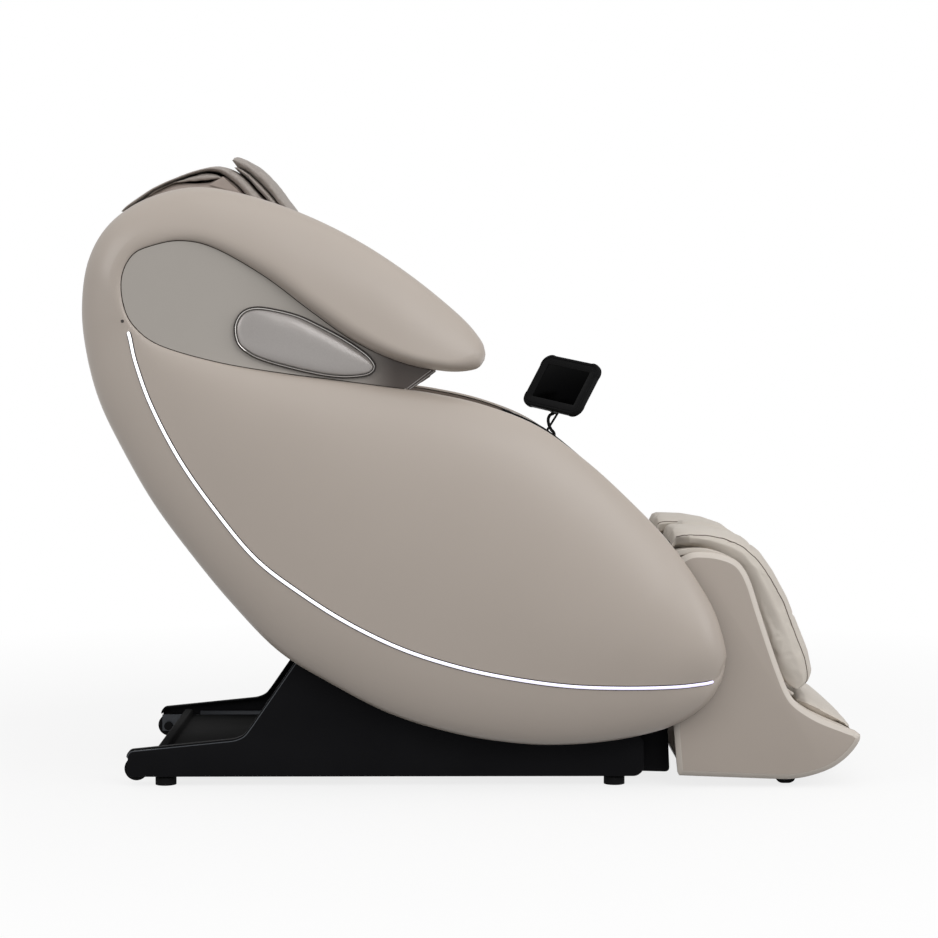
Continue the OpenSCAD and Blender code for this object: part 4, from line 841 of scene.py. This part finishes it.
sideProfile = [(11.6, 0), (11, 0.1), (1.2, 6.6), (0.3, 7.6), (0, 8.8), (0, 15.2), (0.8, 16), (11.4, 16),
               (12, 15.4), (12, 10)]  # inset from the outline, and depth from the outer face
insetRings = {inset: insetRing(ottomanOutline, inset) for inset, _ in sideProfile}
sideRings = [(insetRings[inset], depth) for inset, depth in sideProfile]
slideOutline = strapOutline(slidePoint(ottoman["slideFrom"]),
                            slidePoint(ottoman["slideTo"], 10, ottoman["below"]), ottoman["slideWide"])
legOut = -legY - ottoman["leg"] - ottoman["clear"]
for sideName, mirror in sides:
    rows = [[(x, depth - ottoman["half"], z) for x, z in ring] for ring, depth in sideRings]
    # the sides take the lacquer drawn darker: painted shade
    sidePanel = loftPiece("ottoman_side_" + sideName, rows, "shadedOttomanLacquer", mirror, 30)
    # the slanted band round the edge takes the lighter lacquer: a painted highlight
    sidePanel.data.materials.append(finishes["highlightRimLacquer"])
    for face in sidePanel.data.polygons:  # the slanted band round the edge
        depth = ottoman["half"] - abs(face.center.y) / mm
        if ottoman["rim"][0] < depth < ottoman["rim"][1] and abs(face.normal.y) < 0.98:
            face.material_index = 1
    fit(sidePanel, "ottoman", "ottoman_taupe", "ottoman_shell")
    fit(platePiece("ottoman_slide_" + sideName, slideOutline, 9 - ottoman["half"], legOut, "powderCoatAndHighlight",
                   mirror, 0.6), "ottoman", "steel_painted", "ottoman_shell")
    fit(platePiece("ottoman_glide_" + sideName, roundedCorners(ottoman["glide"], 4), *ottoman["glideY"],
                   "rubber", mirror, 1.5), "ottoman", "ottoman_taupe", "ottoman_shell")
floorBand = smoothLine(ottoman["floorTop"], 6) + smoothLine(ottoman["floorUnder"], 6)
# the floor takes the same darker lacquer: painted shade
fit(platePiece("ottoman_floor", floorBand, -inside, inside, "shadedOttomanLacquer", edge=0.8),
    "ottoman", "ottoman_taupe", "ottoman_shell")
padOut = legY - 1
padBackFine = smoothLine(padBack, 4)
for boardName, line, reach in (("calf_board", padBackFine, padOut),
                               ("calf_board_wide", padBackFine[24:], inside),
                               ("foot_board", smoothLine(footBack, 4), inside)):
    outline = sideways(line, -ottoman["clear"]) + sideways(line, -ottoman["clear"] - ottoman["board"])[::-1]
    fit(platePiece(boardName, outline, -reach, reach, "creamLeather", edge=0.6),
        "ottoman", "ottoman_taupe", "ottoman_shell")
edgeBand = sideways(padBackFine[:27], 1) + sideways(padBackFine[:27], -ottoman["turnedDown"])[::-1]
for sideName, mirror in sides:  # the leather turned down outside the legs, from the pad to the rim
    fit(platePiece("calf_edge_" + sideName, edgeBand, -inside, legOut - ottoman["clear"], "creamLeather",
                   mirror, 1.5), "ottoman", "leather", "ottoman_shell")
crossX, crossZ = slidePoint(ottoman["slideTo"], ottoman["crossAhead"], ottoman["below"])
crossRoute = [(crossX, y, crossZ) for y in (-inside, -100, 100, inside)]
fit(loftPiece("ottoman_cross_bar", tubeRows(crossRoute, ottoman["crossRadius"], 28), "powderCoatAndHighlight", sharp=40),
    "ottoman", "steel_painted", "ottoman_shell")
print("ottoman sides")

# ---- tablet on its stalk
tablet = {"centre": (196.5, 300, 793.5), "turn": -131, "lean": 60, "roll": 80, "width": 174, "height": 130,
          "corner": 24, "display": (128, 88), "pin": (-9, -47, -22), "pinHalf": 11.5, "pinRadius": 2.6,
          "ears": (-10, 6.3), "earThick": 3.7, "earWide": 11}
tabletPlace = (Matrix.Translation(tablet["centre"]) @ Matrix.Rotation(math.radians(tablet["turn"]), 4, "Z")
               @ Matrix.Rotation(math.radians(tablet["lean"]), 4, "Y")
               @ Matrix.Rotation(math.radians(tablet["roll"]), 4, "Z"))


def onTablet(points):
    return [tuple(tabletPlace @ Vector(p)) for p in points]


def tabletRing(inset, z):
    return onTablet([(x, y, z) for x, y in roundedBox(tablet["width"] - 2 * inset,
                                                      tablet["height"] - 2 * inset,
                                                      max(tablet["corner"] - inset, 3))])


caseProfile = [(4, -14), (1.6, -13.6), (0.4, -12.4), (0, -10.6), (0, -3.4), (0.5, -1.4), (1.8, -0.3),
               (3.2, 0), (6.0, 0), (6.7, -0.3), (7, -1), (7, -2.9)]
fit(loftPiece("tablet_shell", [tabletRing(inset, z) for inset, z in caseProfile], "satinAbs", sharp=50),
    "tablet", "tablet_black", "tablet_case")
bumperSection = [(-0.4, -13), (0.6, -12.2), (1.0, -10), (1.0, -4), (0.6, -1.2), (-0.4, -0.1), (-3.5, 0.7),
                 (-3.5, -13.2)]
for k, (sx, sy) in enumerate([(1, 1), (-1, 1), (-1, -1), (1, -1)]):  # soft corners that stand a little proud
    r = tablet["corner"]
    cx, cy = sx * (tablet["width"] / 2 - r), sy * (tablet["height"] / 2 - r)
    arc = [math.atan2(sy, sx) + math.radians(a) for a in range(-62, 63, 8)]
    rows = [onTablet([(cx + (r + out) * math.cos(a), cy + (r + out) * math.sin(a), z)
                      for out, z in bumperSection]) for a in arc]
    fit(loftPiece("tablet_corner_%d" % (k + 1), rows, "rubber", sharp=50), "tablet", "tablet_black")
border = (tablet["width"] - tablet["display"][0]) / 2
borderProfile = [(7.3, -2.7), (7.3, -0.9), (7.9, -0.4), (border - 1.6, -0.5), (border, -1.3), (border, -2.7)]
borderRings = [tabletRing(inset, z) for inset, z in borderProfile]
fit(loftPiece("tablet_border", borderRings, "satinAbs", sharp=40, ends=False),
    "tablet", "tablet_black", "tablet_glass")
glassRings = [tabletRing(border - 2 + inset, z) for inset, z in ((0, -2.6), (0, -1.7), (0.3, -1.5))]
fit(loftPiece("tablet_screen", glassRings, "displayGlass", sharp=40), "tablet", "screen", "tablet_glass")
pinCentre, pinEnd = Vector(tablet["pin"]), tablet["pinHalf"]
pinRoute = onTablet([pinCentre + Vector((s, 0, 0))
                     for s in (-pinEnd, 0.5 - pinEnd, -9, 0, 9, pinEnd - 0.5, pinEnd)])
pinRows = tubeRows(pinRoute, tablet["pinRadius"], 20, [0.7, 1, 1, 1, 1, 1, 0.7])
fit(loftPiece("tablet_pin", pinRows, "groundSteel", sharp=40), "tablet", "tablet_black", "tablet_case")
earLine = strapOutline((0, 0), (0, 10), tablet["earWide"])
for k, x0 in enumerate(tablet["ears"]):
    rows = [onTablet([pinCentre + Vector((x, u, v)) for u, v in earLine])
            for x in (x0, x0 + tablet["earThick"])]
    fit(roundEdges(loftPiece("tablet_ear_%d" % (k + 1), rows, "satinAbs", sharp=40), 0.6),
        "tablet", "tablet_black", "tablet_case")

# the stalk up to the tablet's pin, with a collar under it, and the lead beside it
stalk = {"radius": 3.5, "collarRadius": 6.2, "leadRadius": 2.5,
         "route": [(182, 299, 664), (182, 299, 683), (175.5, 300.7, 692), (170.5, 303.2, 703),
                   (169.3, 305.7, 715), (173.5, 308.2, 724), (181.5, 308.7, 727.5)],
         "lead": [(168, 306, 670), (168, 306, 691), (171.5, 309.7, 697), (177, 314.2, 705.5),
                  (183, 316.2, 715), (188.5, 315.7, 724), (191.9, 314.2, 730), (192, 312.2, 733),
                  (190.2, 310.7, 734)]}
fit(loftPiece("stalk", tubeRows(smoothLine(stalk["route"], 8), stalk["radius"], 20), "satinAbs", sharp=50),
    "cabin", "tablet_black", "tablet_stalk")
pinAt = onTablet([pinCentre])[0]
collarRoute = [(pinAt[0], pinAt[1], z) for z in (725.7, 726.3, 730.1, 730.7)]
fit(loftPiece("stalk_collar", tubeRows(collarRoute, stalk["collarRadius"], 24, [0.9, 1, 1, 0.9]), "satinAbs",
              sharp=40), "cabin", "tablet_black", "tablet_stalk")
fit(loftPiece("lead", tubeRows(smoothLine(stalk["lead"], 6), stalk["leadRadius"], 16), "rubber", sharp=50),
    "cabin", "tablet_black", "tablet_lead")

# ---- control panel on the left arm
console = {"arm": [(-150, 770), (-80, 762), (20, 738), (120, 696), (214, 628), (300, 546), (338, 500)],
           "top": [(66, 740), (160, 696), (246, 628)], "from": 62, "to": 268, "y": (278, 321.4)}
consoleUnder = [p for p in sideways(smoothLine(console["arm"], 8), 0.3)
                if console["from"] < p[0] < console["to"]]
consoleOutline = roundedCorners(smoothLine(console["top"], 8) + consoleUnder[::-1], 2, 2)
fit(platePiece("control_console", consoleOutline, *console["y"], "satinAbs", edge=2.0),
    "cabin", "cover_black", "control_panel")
print("tablet and controls")

# ---- soft pieces: each is swollen by a short cloth simulation from a slightly smaller form
cloth = {"frames": 20, "quality": 4, "pressure": 4.0, "tension": 15, "bending": 0.5}
cushion = {"inset": 4, "cap": 9, "proud": 2, "body": "cabin"}
armRest = {"voxel": 7, "inset": 2.5, "cap": 5, "proud": 0.2, "round": 6, "body": "cabin"}
calfPad = {"voxel": 5, "inset": 3, "cap": 6, "proud": 0.3, "round": 6, "body": "ottoman"}
softPieces = {
    "back_pad": {**cushion, "node": "back_cushion", "voxel": 9, "round": 10},
    "seat_pad": {**cushion, "node": "seat_cushion", "voxel": 7, "round": 8},
    "arm_rest_right": {**armRest, "node": "arm_pad_right"},
    "arm_rest_left": {**armRest, "node": "arm_pad_left"},
    "calf_pad_right": {**calfPad, "node": "leg_pad_right"},
    "calf_pad_left": {**calfPad, "node": "leg_pad_left"},
    "calf_pad_middle": {**calfPad, "node": "leg_pad_centre"},
    "sole_pad": {**calfPad, "node": "foot_pad", "inset": 2, "cap": 5, "round": 4},
}


def startPad(name, spec, finish):
    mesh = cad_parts[spec["node"]].data.copy()
    mesh.materials.clear()
    mesh.materials.append(finishes[finish])
    piece = bpy.data.objects.new(name, mesh)
    scene.collection.objects.link(piece)
    modify(piece, "REMESH", mode="VOXEL", voxel_size=spec["voxel"] * mm, use_smooth_shade=True)
    modify(piece, "SMOOTH", factor=0.5, iterations=spec["round"])
    modify(piece, "DISPLACE", strength=-spec["inset"] * mm, mid_level=0)
    applyModifiers(piece)
    piece["start"] = [c for v in piece.data.vertices for c in v.co]
    fabric = piece.modifiers.new("fabric", "CLOTH").settings
    fabric.quality = cloth["quality"]
    fabric.use_pressure = True
    fabric.uniform_pressure_force = cloth["pressure"]
    fabric.tension_stiffness = fabric.compression_stiffness = cloth["tension"]
    fabric.bending_stiffness = cloth["bending"]
    fabric.effector_weights.gravity = 0
    return piece


def finishPad(piece, spec):  # keep the swelling inside its cap and its own space
    started = list(piece["start"])
    del piece["start"]
    solid = BVHTree.FromObject(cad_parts[spec["node"]], bpy.context.evaluated_depsgraph_get())
    cap, proud = spec["cap"] * mm, spec["proud"] * mm
    for i, v in enumerate(piece.data.vertices):
        begin = Vector(started[3 * i:3 * i + 3])
        move = v.co - begin
        if move.length > cap:
            move *= cap / move.length
        place = begin + move
        near, normal, _, _ = solid.find_nearest(place)
        outside = (place - near).dot(normal)
        v.co = place - normal * max(0, outside - proud)
    modify(piece, "SUBSURF", levels=1, render_levels=1)
    applyModifiers(piece)


def carve(piece, lines, width, depth, step=2):  # presses sewn channels into a pad, along lines on it
    samples = [p for line in lines
               for p in pointsAt(line, [step * k for k in range(int(lineLength(line) / step) + 1)])]
    tree = kdtree.KDTree(len(samples))
    for i, p in enumerate(samples):
        tree.insert(Vector(p) * mm, i)
    tree.balance()
    moves = []
    for v in piece.data.vertices:
        _, _, distance = tree.find(v.co)
        if distance < width * mm:
            share = 1 - (distance / (width * mm)) ** 2
            moves.append((v.index, v.normal * (-depth * mm * share * share)))
    for index, move in moves:
        piece.data.vertices[index].co += move


def onPad(piece, line, proud):  # the line laid on the pad's surface
    tree = BVHTree.FromObject(piece, bpy.context.evaluated_depsgraph_get())
    laid = []
    for p in evenLine(line, max(8, int(lineLength(line) / 6))):
        near, normal, _, _ = tree.find_nearest(Vector(p) * mm)
        laid.append(tuple((near + normal * proud * mm) / mm))
    return laid


def slidePad(piece, move, share):  # moves a pad's points, each by its own share
    for v in piece.data.vertices:
        v.co += Vector(move) * mm * share(v.co / mm)


pads = {name: startPad(name, spec, "creamLeather") for name, spec in softPieces.items()}
for number in range(1, cloth["frames"] + 1):
    scene.frame_set(number)
for piece in pads.values():
    applyModifiers(piece)
scene.frame_set(1)
for name, piece in pads.items():
    finishPad(piece, softPieces[name])
# the back's shoulders slope down under the rims, the foot pad sits down on its board
# and the calf pads reach outwards
drape = {"shoulder": (-10, 0, -84), "shoulderY": (118, 158), "shoulderZ": (1060, 1170), "sole": (-2, 0, -4),
         "calfOut": 18.5, "calfY": (200, 270), "calfX": (398, 424)}


def ramp(value, span):
    return clamp((value - span[0]) / (span[1] - span[0]))


slidePad(pads["back_pad"], drape["shoulder"],
         lambda p: ramp(abs(p.y), drape["shoulderY"]) * ramp(p.z, drape["shoulderZ"]))
slidePad(pads["sole_pad"], drape["sole"], lambda p: 1)
for name, reach in (("calf_pad_right", -drape["calfOut"]), ("calf_pad_left", drape["calfOut"])):
    slidePad(pads[name], (0, reach, 0), lambda p: ramp(abs(p.y), drape["calfY"]) * ramp(p.x, drape["calfX"]))
print("pads swollen:", len(pads))

seatPath = smoothLine([(6, 404), (60, 402), (130, 410), (200, 425), (270, 450), (320, 476), (342, 484)], 3)
backPath = smoothLine([(-496, 1222), (-430, 1142), (-360, 1057), (-250, 923), (-140, 790), (-60, 668),
                       (-18, 560), (-4, 470), (0, 420)], 3)
padFaceFine = smoothLine(padFace, 4)
# places across the chair, rows counted along the paths above, and each channel's width and depth
sewn = {"seatY": (-150, 0, 150), "seatHalf": 240, "seatRow": 9, "seat": (11, 7),
        "backY": (-110, 110), "backHalf": 235, "backRows": (7, 12, 17), "back": (12, 8),
        "calfRows": (22, 34), "calfHalf": 90, "calf": (9, 4), "calfInner": 60,
        "weltY": 262, "welt": 2, "calfWelt": 1.0, "calfWeltY": (("outer", padOut + 8), ("inner", 69))}


def alongY(line, y):  # a line of the side view, at this place across the chair
    return [(x, y, z) for x, z in line]


def acrossAt(point, half, middle=0, steps=24):
    return [(point[0], middle + mix(-half, half, k / steps), point[1]) for k in range(steps + 1)]


def addWelt(name, pad, line, radius, finish="creamLeather"):
    laid = onPad(pads[pad], line, radius * 0.35)
    fit(loftPiece(name, tubeRows(laid, radius, 10), finish, sharp=60), softPieces[pad]["body"], "leather")


seatLines = ([alongY(seatPath, y) for y in sewn["seatY"]]
             + [acrossAt(seatPath[sewn["seatRow"]], sewn["seatHalf"])])
carve(pads["seat_pad"], seatLines, *sewn["seat"])
backLines = [alongY(backPath[3:], y) for y in sewn["backY"]] + [alongY(backPath[6:], 0)]
backLines += [acrossAt(backPath[k], sewn["backHalf"]) for k in sewn["backRows"]]
carve(pads["back_pad"], backLines, *sewn["back"])
padMiddle = (padOut + sewn["calfInner"]) / 2
for name, y0 in (("calf_pad_right", -padMiddle), ("calf_pad_left", padMiddle), ("calf_pad_middle", 0)):
    carve(pads[name], [acrossAt(padFaceFine[k], sewn["calfHalf"], y0, 18) for k in sewn["calfRows"]],
          *sewn["calf"])
for name, piece in pads.items():
    fit(piece, softPieces[name]["body"], "leather", softPieces[name]["node"])
for sideName, sign in (("right", -1), ("left", 1)):
    for part, y in sewn["calfWeltY"]:
        addWelt("calf_welt_%s_%s" % (part, sideName), "calf_pad_" + sideName,
                alongY(padFaceFine[2:-3], sign * y), sewn["calfWelt"], "linerLeather")
    for pad, path in (("seat", seatPath[1:-1]), ("back", backPath[5:-1])):
        addWelt("%s_welt_%s" % (pad, sideName), pad + "_pad", alongY(path, sign * sewn["weltY"]),
                sewn["welt"])
print("channels and welts")

# ---- head: a folded cover over the top with its lining, core and side pleats, the soft filling
# between the shells, and a pillow of two layers
head = {"coverHalf": 165, "liningHalf": 163, "coreHalf": 159, "shoulderHalf": 318,
        "coverTop": [(-717, 1152), (-695, 1170), (-651, 1198), (-605, 1219), (-549, 1237), (-520, 1241),
                     (-499, 1237), (-478, 1226), (-456, 1205), (-427, 1173), (-392, 1130), (-357, 1086),
                     (-330, 1052), (-302, 1019)],
        "coverLow": [(-714, 1146), (-692, 1163), (-648, 1192), (-603, 1213), (-551, 1229), (-526, 1229),
                     (-509, 1222), (-496, 1212), (-480, 1197), (-454, 1168), (-418, 1124), (-382, 1080),
                     (-352, 1044), (-322, 1009)],
        "liningTop": [(-708, 1147), (-690, 1160), (-648, 1188), (-604, 1210), (-552, 1227), (-529, 1226),
                      (-512, 1218)],
        "liningLow": [(-706, 1142), (-688, 1153), (-653, 1187), (-623, 1201), (-605, 1206), (-564, 1206),
                      (-529, 1210), (-510, 1214)],
        "coreTop": [(-704, 1143), (-686, 1158), (-653, 1187), (-623, 1202), (-605, 1207), (-564, 1208),
                    (-536, 1211), (-522, 1218), (-510, 1222), (-494, 1211), (-471, 1188), (-440, 1152),
                    (-412, 1117)],
        "coreLow": [(-700, 1122), (-680, 1123), (-653, 1125), (-627, 1127), (-604, 1129), (-570, 1131),
                    (-542, 1133), (-528, 1135), (-514, 1137), (-500, 1134), (-484, 1122), (-462, 1100),
                    (-436, 1070)],
        "shoulderTop": [(-706, 1112), (-664, 1134), (-620, 1150), (-577, 1160), (-519, 1162), (-470, 1153),
                        (-436, 1138)],
        "shoulderLow": [(-700, 1082), (-656, 1096), (-612, 1108), (-570, 1114), (-522, 1114), (-482, 1104),
                        (-452, 1092)],
        "pleat": [(-538, 1203), (-510, 1219), (-470, 1182)], "pleatRows": 16, "pleatColumns": 12,
        "pleatThick": 3, "pleatBulge": 4, "pleatRipple": 1.2}


# a layer between two lines of the side view: "square" is how full its long edges are
def layerPiece(name, top, low, half, finish, rows=60, columns=26, square=5, wrinkle=0.6, lift=3, hollow=0.0):
    upper, under = evenLine(smoothLine(top, 6), rows), evenLine(smoothLine(low, 6), rows)
    across = [math.sin(math.pi / 2 * (2 * k / columns - 1)) for k in range(columns + 1)]
    grid = []
    for i, (a, b) in enumerate(zip(upper, under)):
        end = math.sqrt(clamp(1 - abs(2 * i / rows - 1) ** 24))
        fold = 0.5 * math.sin(i / rows * 40 + 2 * math.sin(i / rows * 9))
        ring = []
        for sheet, order in ((1, across), (-1, across[-2:0:-1])):
            for u in order:
                t = 0.5 + sheet * 0.5 * end * math.sqrt(clamp(1 - abs(u) ** (2 * square)))
                inner = 1 - clamp((abs(u) - 0.84) / 0.13)
                if sheet < 0:  # the underside is hollow between its turned-down sides
                    t += hollow * inner * (1 - t)
                ring.append((mixPoints(b, a, t), u * half, lift * (1 - u * u) + wrinkle * fold * abs(u) ** 3))
        row = []
        for (x, z), y, rise in ring:
            shake = noise.noise(Vector((x / 31, y / 23, z / 31))) * wrinkle
            fine = noise.noise(Vector((x / 9, y / 40, z / 9))) * wrinkle * 0.5
            row.append((x + shake, y + 1.5 * fine, z + rise + shake + fine))
        grid.append(row)
    return loftPiece(name, grid, finish, sharp=70)


def layerLines(spec, part):
    return spec[part + "Top"], spec[part + "Low"], spec[part + "Half"]


headLayers = [layerPiece("head_cover", *layerLines(head, "cover"), "headLeather", 100),
              layerPiece("head_lining", *layerLines(head, "lining"), "headLeather", wrinkle=0.8, hollow=0.6),
              layerPiece("head_core", *layerLines(head, "core"), "foldLeather", square=16, wrinkle=1.6,
                         lift=0),
              layerPiece("head_shoulders", *layerLines(head, "shoulder"), "foldLeather", 40, 40, wrinkle=1.2,
                         lift=0)]
for piece, fill in zip(headLayers, (0.4, 0.4, 0.5, 0.5)):
    fit(piece, "cabin", "leather_grey", "head_flap")
for sideName, mirror in sides:  # the pleat that closes each side of the cover
    a, b, c = [Vector((p[0], -head["liningHalf"], p[1])) for p in head["pleat"]]
    rows = []
    for i in range(head["pleatRows"] + 1):
        s, row = i / head["pleatRows"], []
        left, right = a.lerp(b, s), a.lerp(c, s)
        for j in range(head["pleatColumns"] + 1):
            t = j / head["pleatColumns"]
            p = left.lerp(right, t)
            bulge = (head["pleatBulge"] * math.sin(math.pi * t)
                     + head["pleatRipple"] * math.sin(3 * math.pi * t)) * s
            row.append((p.x, p.y - bulge * 0.3 + 3 * (1 - s), p.z))
        rows.append(row)
    back = [[(x, y + head["pleatThick"], z) for x, y, z in row] for row in rows]
    fit(wallPiece("head_pleat_" + sideName, rows, back, "foldLeather", mirror, 60),
        "cabin", "leather_grey", "head_flap")

pillow = {"upperHalf": 160, "lowerHalf": 158,
          "upperTop": [(-494, 1263), (-483, 1263), (-457, 1252), (-433, 1237), (-409, 1210), (-386, 1179),
                       (-369, 1157), (-334, 1112), (-312, 1083)],
          "upperLow": [(-490, 1240), (-480, 1237), (-463, 1228), (-439, 1206), (-415, 1181), (-397, 1159),
                       (-378, 1136), (-344, 1093), (-324, 1067)],
          "lowerTop": [(-488, 1242), (-478, 1239), (-462, 1230), (-437, 1208), (-413, 1183), (-381, 1145),
                       (-347, 1102), (-324, 1069)],
          "lowerLow": [(-488, 1233), (-477, 1229), (-462, 1216), (-440, 1192), (-421, 1170), (-390, 1133),
                       (-357, 1092), (-333, 1061)]}
for part, square, wrinkle, fill in (("upper", 3, 1.2, 0.6), ("lower", 4, 0.8, 0.5)):
    piece = layerPiece("pillow_" + part, *layerLines(pillow, part), "headLeather", 60, 30, square, wrinkle, 0)
    fit(piece, "pillow", "leather_grey", "head_pillow")
print("head cover and pillow")

# ---- the frame's own pieces, in their real finishes
carried = {
    "powderCoatAndHighlight": ["base_frame", "seat_frame", "roller_carriage", "leg_frame"],
    "groundSteel": ["pivot_pins", "tilt_rod", "track_rails", "knee_shaft"],
    "rubber": ["rubber_feet", "transport_wheel_right", "transport_wheel_left"],
    "blackAbs": ["power_box", "tilt_motor", "knee_motor", "knead_arm_right", "knead_arm_left"],
    "satinAbs": ["power_inlet", "tablet_mount", "wheel_axles"],
    "redNylon": ["power_switch"],
    "greyKey": ["power_button", "tilt_button"],
    "rollerUrethane": ["roller_upper_right", "roller_lower_right", "roller_upper_left", "roller_lower_left"],
    "linerLeather": ["inner_panel_right", "inner_panel_left"],
}
for finishName, nodes in carried.items():
    for node in nodes:
        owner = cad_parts[node]
        owner.data.materials.clear()
        owner.data.materials.append(finishes[finishName])
print("frame finished")
